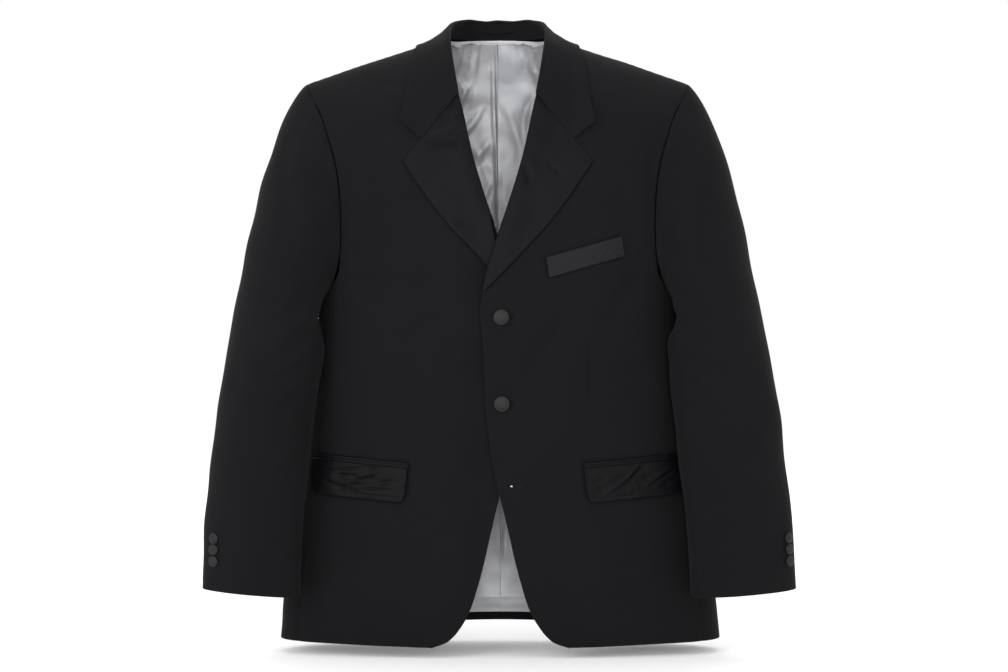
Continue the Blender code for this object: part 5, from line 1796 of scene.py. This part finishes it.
def make_bar_tacks(thread):
    """The short rows of thread that hold the ends of the pockets and the welt."""
    for name, side, x, z, tall in BAR_TACKS:
        deselect_all()
        bpy.ops.mesh.primitive_cylinder_add(vertices=14, radius=TACK_RADIUS, depth=tall, location=(0, 0, 0))
        tack = bpy.context.object
        tack.name = name
        tack.data.materials.append(thread)
        bpy.ops.object.mode_set(mode="EDIT")
        bpy.ops.mesh.select_all(action="SELECT")
        bpy.ops.mesh.bevel(offset=TACK_BEVEL, segments=2)
        bpy.ops.object.mode_set(mode="OBJECT")
        bpy.ops.object.shade_smooth()
        seat = on_front(side, x, z, LYING_GAP + SATIN + 0.0005)
        settle(tack, Matrix.Translation(seat))
        finish_hard(tack)


def cloth_settings():
    return bpy.context.scene.jacket_cloth


def finish_colours():
    return bpy.context.scene.jacket_finish


def add_node(tree, kind, **values):
    node = tree.nodes.new(kind)
    for name, value in values.items():
        setattr(node, name, value)
    return node


def set_inputs(node, values):
    """Sets a shading node's inputs by their names."""
    for name, value in values.items():
        node.inputs[name].default_value = value


def weave_material(
    name, colour, roughness, thread, twill, bump, mottle, sheen, gloss, on_uv=True, brushed=0.0, silver=0.0
):
    """Woven cloth: crossing threads as fine bumps, fibres between them, and a slight mottling."""
    material = bpy.data.materials.new(name)
    material.use_nodes = True
    tree = material.node_tree
    shader = tree.nodes["Principled BSDF"]
    set_inputs(shader, {
        "Roughness": roughness,
        "Specular IOR Level": gloss,
        "Sheen Weight": sheen,
        "Sheen Roughness": 0.45,
        "Sheen Tint": (0.62, 0.62, 0.66, 1),
        "Anisotropic": brushed,
        "Metallic": silver,
    })
    places = add_node(tree, "ShaderNodeTexCoord")
    start = places.outputs["UV" if on_uv else "Object"]
    direction = "DIAGONAL" if twill else "X"
    threads = add_node(tree, "ShaderNodeTexWave", wave_type="BANDS", bands_direction=direction)
    scale = BAND_SCALE / thread * (2 if twill else 1)
    set_inputs(threads, {"Scale": scale, "Distortion": 0.6, "Detail": 1.0})
    tree.links.new(start, threads.inputs["Vector"])
    crossing = add_node(tree, "ShaderNodeTexWave", wave_type="BANDS", bands_direction="Y")
    set_inputs(crossing, {"Scale": BAND_SCALE / thread, "Distortion": 0.8})
    tree.links.new(start, crossing.inputs["Vector"])
    fibres = add_node(tree, "ShaderNodeTexNoise")
    set_inputs(fibres, {"Scale": 0.9 / thread, "Detail": 3.0})
    tree.links.new(start, fibres.inputs["Vector"])
    woven = add_node(tree, "ShaderNodeMath", operation="MULTIPLY_ADD")
    tree.links.new(threads.outputs["Color"], woven.inputs[0])
    woven.inputs[1].default_value = 0.6
    tree.links.new(crossing.outputs["Color"], woven.inputs[2])
    rough = add_node(tree, "ShaderNodeMath", operation="ADD")
    tree.links.new(woven.outputs[0], rough.inputs[0])
    tree.links.new(fibres.outputs["Fac"], rough.inputs[1])
    raised = add_node(tree, "ShaderNodeBump")
    set_inputs(raised, {"Strength": bump, "Distance": thread / 4})
    tree.links.new(rough.outputs[0], raised.inputs["Height"])
    soft = add_node(tree, "ShaderNodeTexNoise")
    set_inputs(soft, {"Scale": 34, "Detail": 4})
    tree.links.new(places.outputs["Object"], soft.inputs["Vector"])
    lumps = add_node(tree, "ShaderNodeBump")
    set_inputs(lumps, {"Strength": 0.35, "Distance": 0.0006})
    tree.links.new(soft.outputs["Fac"], lumps.inputs["Height"])
    tree.links.new(raised.outputs["Normal"], lumps.inputs["Normal"])
    tree.links.new(lumps.outputs["Normal"], shader.inputs["Normal"])
    patches = add_node(tree, "ShaderNodeTexNoise")
    set_inputs(patches, {"Scale": 9, "Detail": 6, "Roughness": 0.65})
    tree.links.new(places.outputs["Object"], patches.inputs["Vector"])
    shades = add_node(tree, "ShaderNodeValToRGB")
    shades.color_ramp.elements[0].position = 0.25
    shades.color_ramp.elements[1].position = 0.75
    for element, share in zip(shades.color_ramp.elements, (1 - mottle, 1 + mottle)):
        element.color = (*(min(c * share, 1.0) for c in colour), 1)
    tree.links.new(patches.outputs["Fac"], shades.inputs["Fac"])
    threads_show = add_node(tree, "ShaderNodeMix", data_type="RGBA", blend_type="MULTIPLY")
    threads_show.inputs["Factor"].default_value = 0.25
    tree.links.new(shades.outputs["Color"], threads_show.inputs["A"])
    tree.links.new(threads.outputs["Color"], threads_show.inputs["B"])
    tree.links.new(threads_show.outputs["Result"], shader.inputs["Base Color"])
    return material


def black_wool():
    return weave_material("black_wool", finish_colours().wool, 0.80, 0.0007, True, 0.55, 0.10, 0.03, 0.07)


def black_satin():
    return weave_material(
        "black_satin", finish_colours().satin, 0.52, 0.0004, False, 0.30, 0.08, 0.01, 0.05, brushed=0.35
    )


def pocket_satin():
    return weave_material(
        "pocket_satin", finish_colours().pocket, 0.36, 0.0005, False, 0.35, 0.08, 0.0, 0.06, brushed=0.25
    )


def welt_satin():
    return weave_material(
        "welt_satin", finish_colours().welt, 0.46, 0.0006, False, 0.55, 0.16, 0.02, 0.10, brushed=0.20
    )


def silver_silk():
    return weave_material(
        "silver_silk", finish_colours().lining, 0.40, 0.0003, True, 0.16, 0.04, 0.04, 0.42,
        brushed=0.35, silver=0.25,
    )


def covered_cloth():
    return weave_material(
        "button_cloth", finish_colours().button, 0.50, 0.0004, False, 0.40, 0.10, 0.04, 0.20, on_uv=False
    )


def sewing_thread(name, colour):
    return weave_material(name, colour, 0.65, 0.0003, True, 0.6, 0.15, 0.03, 0.10, on_uv=False)


def kept(name, make):
    """The material of this name, made the first time that a piece asks for it."""
    return bpy.data.materials.get(name) or make()


def wool():
    return kept("black_wool", black_wool)


def satin():
    return kept("black_satin", black_satin)


def trim():
    return kept("pocket_satin", pocket_satin)


def welt():
    return kept("welt_satin", welt_satin)


def silk():
    return kept("silver_silk", silver_silk)


def covered():
    return kept("button_cloth", covered_cloth)


def black_thread():
    return kept("black_thread", lambda: sewing_thread("black_thread", finish_colours().thread))


def white_thread():
    return kept("white_thread", lambda: sewing_thread("white_thread", finish_colours().basting))


def colour_property(name, description, default):
    return bpy.props.FloatVectorProperty(
        name=name, description=description, default=default, size=3, min=0.0, max=1.0, subtype="COLOR"
    )


class JacketCloth(bpy.types.PropertyGroup):
    """How strongly the cloth is creased and sewn."""

    crease_strength: bpy.props.FloatProperty(
        name="Creases", description="How deep the creases are pressed, 1 as shown", default=1.0,
        min=0.0, max=2.0, subtype="FACTOR",
    )
    seam_depth: bpy.props.FloatProperty(
        name="Seam depth", description="How far the cloth sinks at a sewn seam", default=SEAM_DEPTH,
        min=0.0, max=0.003, unit="LENGTH", precision=4,
    )
    unevenness: bpy.props.FloatProperty(
        name="Unevenness", description="Height of the slow waves of hanging cloth", default=LOOM_UNEVEN,
        min=0.0, max=0.003, unit="LENGTH", precision=4,
    )


class JacketFinish(bpy.types.PropertyGroup):
    """The colours of the cloths and threads."""

    wool: colour_property("Wool", "Colour of the black wool", (0.0052, 0.0052, 0.0061))
    satin: colour_property("Satin", "Colour of the lapels' satin", (0.0050, 0.0050, 0.0059))
    pocket: colour_property("Pocket satin", "Colour of the flaps and jets", (0.0030, 0.0030, 0.0037))
    welt: colour_property("Welt", "Colour of the chest welt", (0.0085, 0.0085, 0.0096))
    lining: colour_property("Lining", "Colour of the silver lining", (0.430, 0.433, 0.455))
    button: colour_property("Button", "Colour of the covered buttons", (0.0070, 0.0070, 0.0079))
    thread: colour_property("Thread", "Colour of the black sewing thread", (0.0040, 0.0040, 0.0046))
    basting: colour_property("Basting", "Colour of the white basting thread", (0.72, 0.72, 0.70))


class JacketStage(bpy.types.PropertyGroup):
    """The floor and the light."""

    floor_drop: bpy.props.FloatProperty(
        name="Floor drop", description="How far the floor lies under the hem", default=FLOOR_DROP,
        min=0.01, max=0.5, unit="LENGTH",
    )
    sky: bpy.props.FloatProperty(
        name="Even light", description="Strength of the light from all round", default=1.0, min=0.0, max=4.0
    )
    key: bpy.props.FloatProperty(
        name="Main light", description="Power of the large light at the front", default=36.0, min=0.0,
        max=500.0, unit="POWER",
    )


class JACKET_OT_body(bpy.types.Operator):
    """Makes the fronts, the side panels and the backs"""

    bl_idname = "jacket.body"
    bl_label = "Body"

    def execute(self, context):
        for side_name in SIDES:
            make_front_cloth(side_name, wool())
            make_side_cloth(side_name, wool())
            make_back_cloth(side_name, wool())
        return {"FINISHED"}


class JACKET_OT_sleeves(bpy.types.Operator):
    """Makes the top sleeves and under sleeves"""

    bl_idname = "jacket.sleeves"
    bl_label = "Sleeves"

    def execute(self, context):
        for side_name in SIDES:
            for part in ("top", "under"):
                make_sleeve_cloth(side_name, part, wool())
        return {"FINISHED"}


class JACKET_OT_lapels(bpy.types.Operator):
    """Makes the satin lapels with their rolled edge"""

    bl_idname = "jacket.lapels"
    bl_label = "Lapels"

    def execute(self, context):
        for side_name in SIDES:
            make_lapel_cloth(side_name, satin())
        return {"FINISHED"}


class JACKET_OT_collar(bpy.types.Operator):
    """Makes the turned-down collar, its stitched stand and the hanging loop"""

    bl_idname = "jacket.collar"
    bl_label = "Collar"

    def execute(self, context):
        make_collar_cloth(wool())
        make_stand_cloth(wool())
        make_hanging_loop(wool())
        return {"FINISHED"}


class JACKET_OT_lining(bpy.types.Operator):
    """Makes both halves of the wrinkled back lining"""

    bl_idname = "jacket.lining"
    bl_label = "Lining"

    def execute(self, context):
        for side_name in SIDES:
            make_lining_cloth(side_name, silk())
        return {"FINISHED"}


class JACKET_OT_pockets(bpy.types.Operator):
    """Makes the flaps, the jets, the chest welt and their bar tacks"""

    bl_idname = "jacket.pockets"
    bl_label = "Pockets"

    def execute(self, context):
        for side_name in SIDES:
            make_flap_cloth(side_name, trim())
            make_jet_cloth(side_name, trim())
        make_welt_cloth(welt())
        make_bar_tacks(black_thread())
        return {"FINISHED"}


class JACKET_OT_buttons(bpy.types.Operator):
    """Makes the covered buttons, their shanks and the buttonholes"""

    bl_idname = "jacket.buttons"
    bl_label = "Buttons"

    def execute(self, context):
        make_front_button_pieces(covered(), black_thread())
        for side_name in SIDES:
            make_cuff_button_pieces(side_name, covered())
        make_buttonholes(black_thread(), white_thread())
        return {"FINISHED"}


class JACKET_OT_stage(bpy.types.Operator):
    """Makes the pale floor, the soft light and the camera"""

    bl_idname = "jacket.stage"
    bl_label = "Floor, light and camera"

    def execute(self, context):
        make_stage(context)
        return {"FINISHED"}


def pale_floor_material():
    material = bpy.data.materials.new("pale_floor")
    material.use_nodes = True
    tree = material.node_tree
    shader = tree.nodes["Principled BSDF"]
    set_inputs(shader, {"Roughness": 0.9, "Specular IOR Level": 0.1})
    set_inputs(shader, {"Emission Color": (1, 1, 1, 1), "Emission Strength": FLOOR_GLOW})
    places = add_node(tree, "ShaderNodeTexCoord")
    grain = add_node(tree, "ShaderNodeTexNoise")
    grain.inputs["Scale"].default_value = 3
    tree.links.new(places.outputs["Object"], grain.inputs["Vector"])
    shades = add_node(tree, "ShaderNodeValToRGB")
    shades.color_ramp.elements[0].color = (0.93, 0.93, 0.93, 1)
    shades.color_ramp.elements[1].color = (0.96, 0.96, 0.96, 1)
    tree.links.new(grain.outputs["Fac"], shades.inputs["Fac"])
    tree.links.new(shades.outputs["Color"], shader.inputs["Base Color"])
    return material


# Large soft lights: where they stand, how wide they are, and their share of the main one
LightRow = namedtuple("LightRow", "name x y z size share")
LIGHTS = (
    LightRow("main_light", -2.1, -2.6, 0.7, 2.2, 1.6),
    LightRow("fill_light", 2.4, -2.2, 0.5, 2.4, 0.35),
    LightRow("front_light", 0.1, -3.6, -0.1, 1.4, 1.4),
    LightRow("top_light", 0.2, 0.6, 2.6, 2.0, 0.45),
    LightRow("back_light", 0.0, 2.8, 0.8, 2.4, 0.5),
)


def make_stage(context):
    settings = context.scene.jacket_stage
    deselect_all()
    floor_height = HEM - settings.floor_drop
    bpy.ops.mesh.primitive_circle_add(vertices=96, radius=9.0, fill_type="NGON", location=(0, 0, 0))
    floor = context.object
    floor.name = "floor"
    floor.data.materials.append(pale_floor_material())
    bpy.ops.object.mode_set(mode="EDIT")
    bpy.ops.mesh.select_all(action="SELECT")
    for _ in range(2):
        bpy.ops.mesh.inset(thickness=2.5, depth=0)
    bpy.ops.object.mode_set(mode="OBJECT")
    settle(floor, Matrix.Translation((0, 0, floor_height)))
    world = context.scene.world or bpy.data.worlds.new("studio")
    context.scene.world = world
    world.use_nodes = True
    sky = world.node_tree.nodes.get("Background") or world.node_tree.nodes.new("ShaderNodeBackground")
    set_inputs(sky, {"Color": (1, 1, 1, 1), "Strength": settings.sky})
    for row in LIGHTS:
        bpy.ops.object.light_add(type="AREA", location=(row.x, row.y, row.z))
        light = context.object
        light.name = row.name
        light.data.size = row.size
        light.data.energy = settings.key * row.share
        aim = Vector((0, 0, (HEM + NECK_BACK_HEIGHT) / 2)) - light.location
        light.rotation_euler = aim.to_track_quat("-Z", "Y").to_euler()
    bpy.ops.object.camera_add(location=CAMERA, rotation=(math.pi / 2, 0, 0))
    camera = context.object
    camera.name = "front_camera"
    camera.data.lens = LENS
    camera.data.sensor_width = SENSOR
    camera.data.sensor_fit = "HORIZONTAL"
    context.scene.camera = camera
    context.scene.view_settings.view_transform = "Standard"
    deselect_all()


MAKERS = (
    JACKET_OT_body,
    JACKET_OT_sleeves,
    JACKET_OT_lapels,
    JACKET_OT_collar,
    JACKET_OT_lining,
    JACKET_OT_pockets,
    JACKET_OT_buttons,
    JACKET_OT_stage,
)


class JACKET_PT_panel(bpy.types.Panel):
    """Lists the jacket's settings and its pieces"""

    bl_idname = "JACKET_PT_panel"
    bl_label = "Tuxedo jacket"
    bl_space_type = "VIEW_3D"
    bl_region_type = "UI"
    bl_category = "Jacket"

    def draw(self, context):
        for group in ("jacket_cloth", "jacket_finish", "jacket_stage"):
            settings = getattr(context.scene, group)
            box = self.layout.box()
            for name in settings.__annotations__:
                box.prop(settings, name)
        for maker in MAKERS:
            self.layout.operator(maker.bl_idname, text=maker.bl_label)


GROUPS = {"jacket_cloth": JacketCloth, "jacket_finish": JacketFinish, "jacket_stage": JacketStage}


def register():
    for group in GROUPS.values():
        bpy.utils.register_class(group)
    for name, group in GROUPS.items():
        setattr(bpy.types.Scene, name, bpy.props.PointerProperty(type=group))
    for made in (*MAKERS, JACKET_PT_panel):
        bpy.utils.register_class(made)


def unregister():
    for made in (JACKET_PT_panel, *reversed(MAKERS)):
        bpy.utils.unregister_class(made)
    for name, group in reversed(GROUPS.items()):
        delattr(bpy.types.Scene, name)
        bpy.utils.unregister_class(group)


def main():
    register()
    deselect_all()
    bpy.ops.jacket.body()
    bpy.ops.jacket.sleeves()
    bpy.ops.jacket.lapels()
    bpy.ops.jacket.collar()
    bpy.ops.jacket.lining()
    bpy.ops.jacket.pockets()
    bpy.ops.jacket.buttons()
    bpy.ops.jacket.stage()


if __name__ == "__main__":
    main()
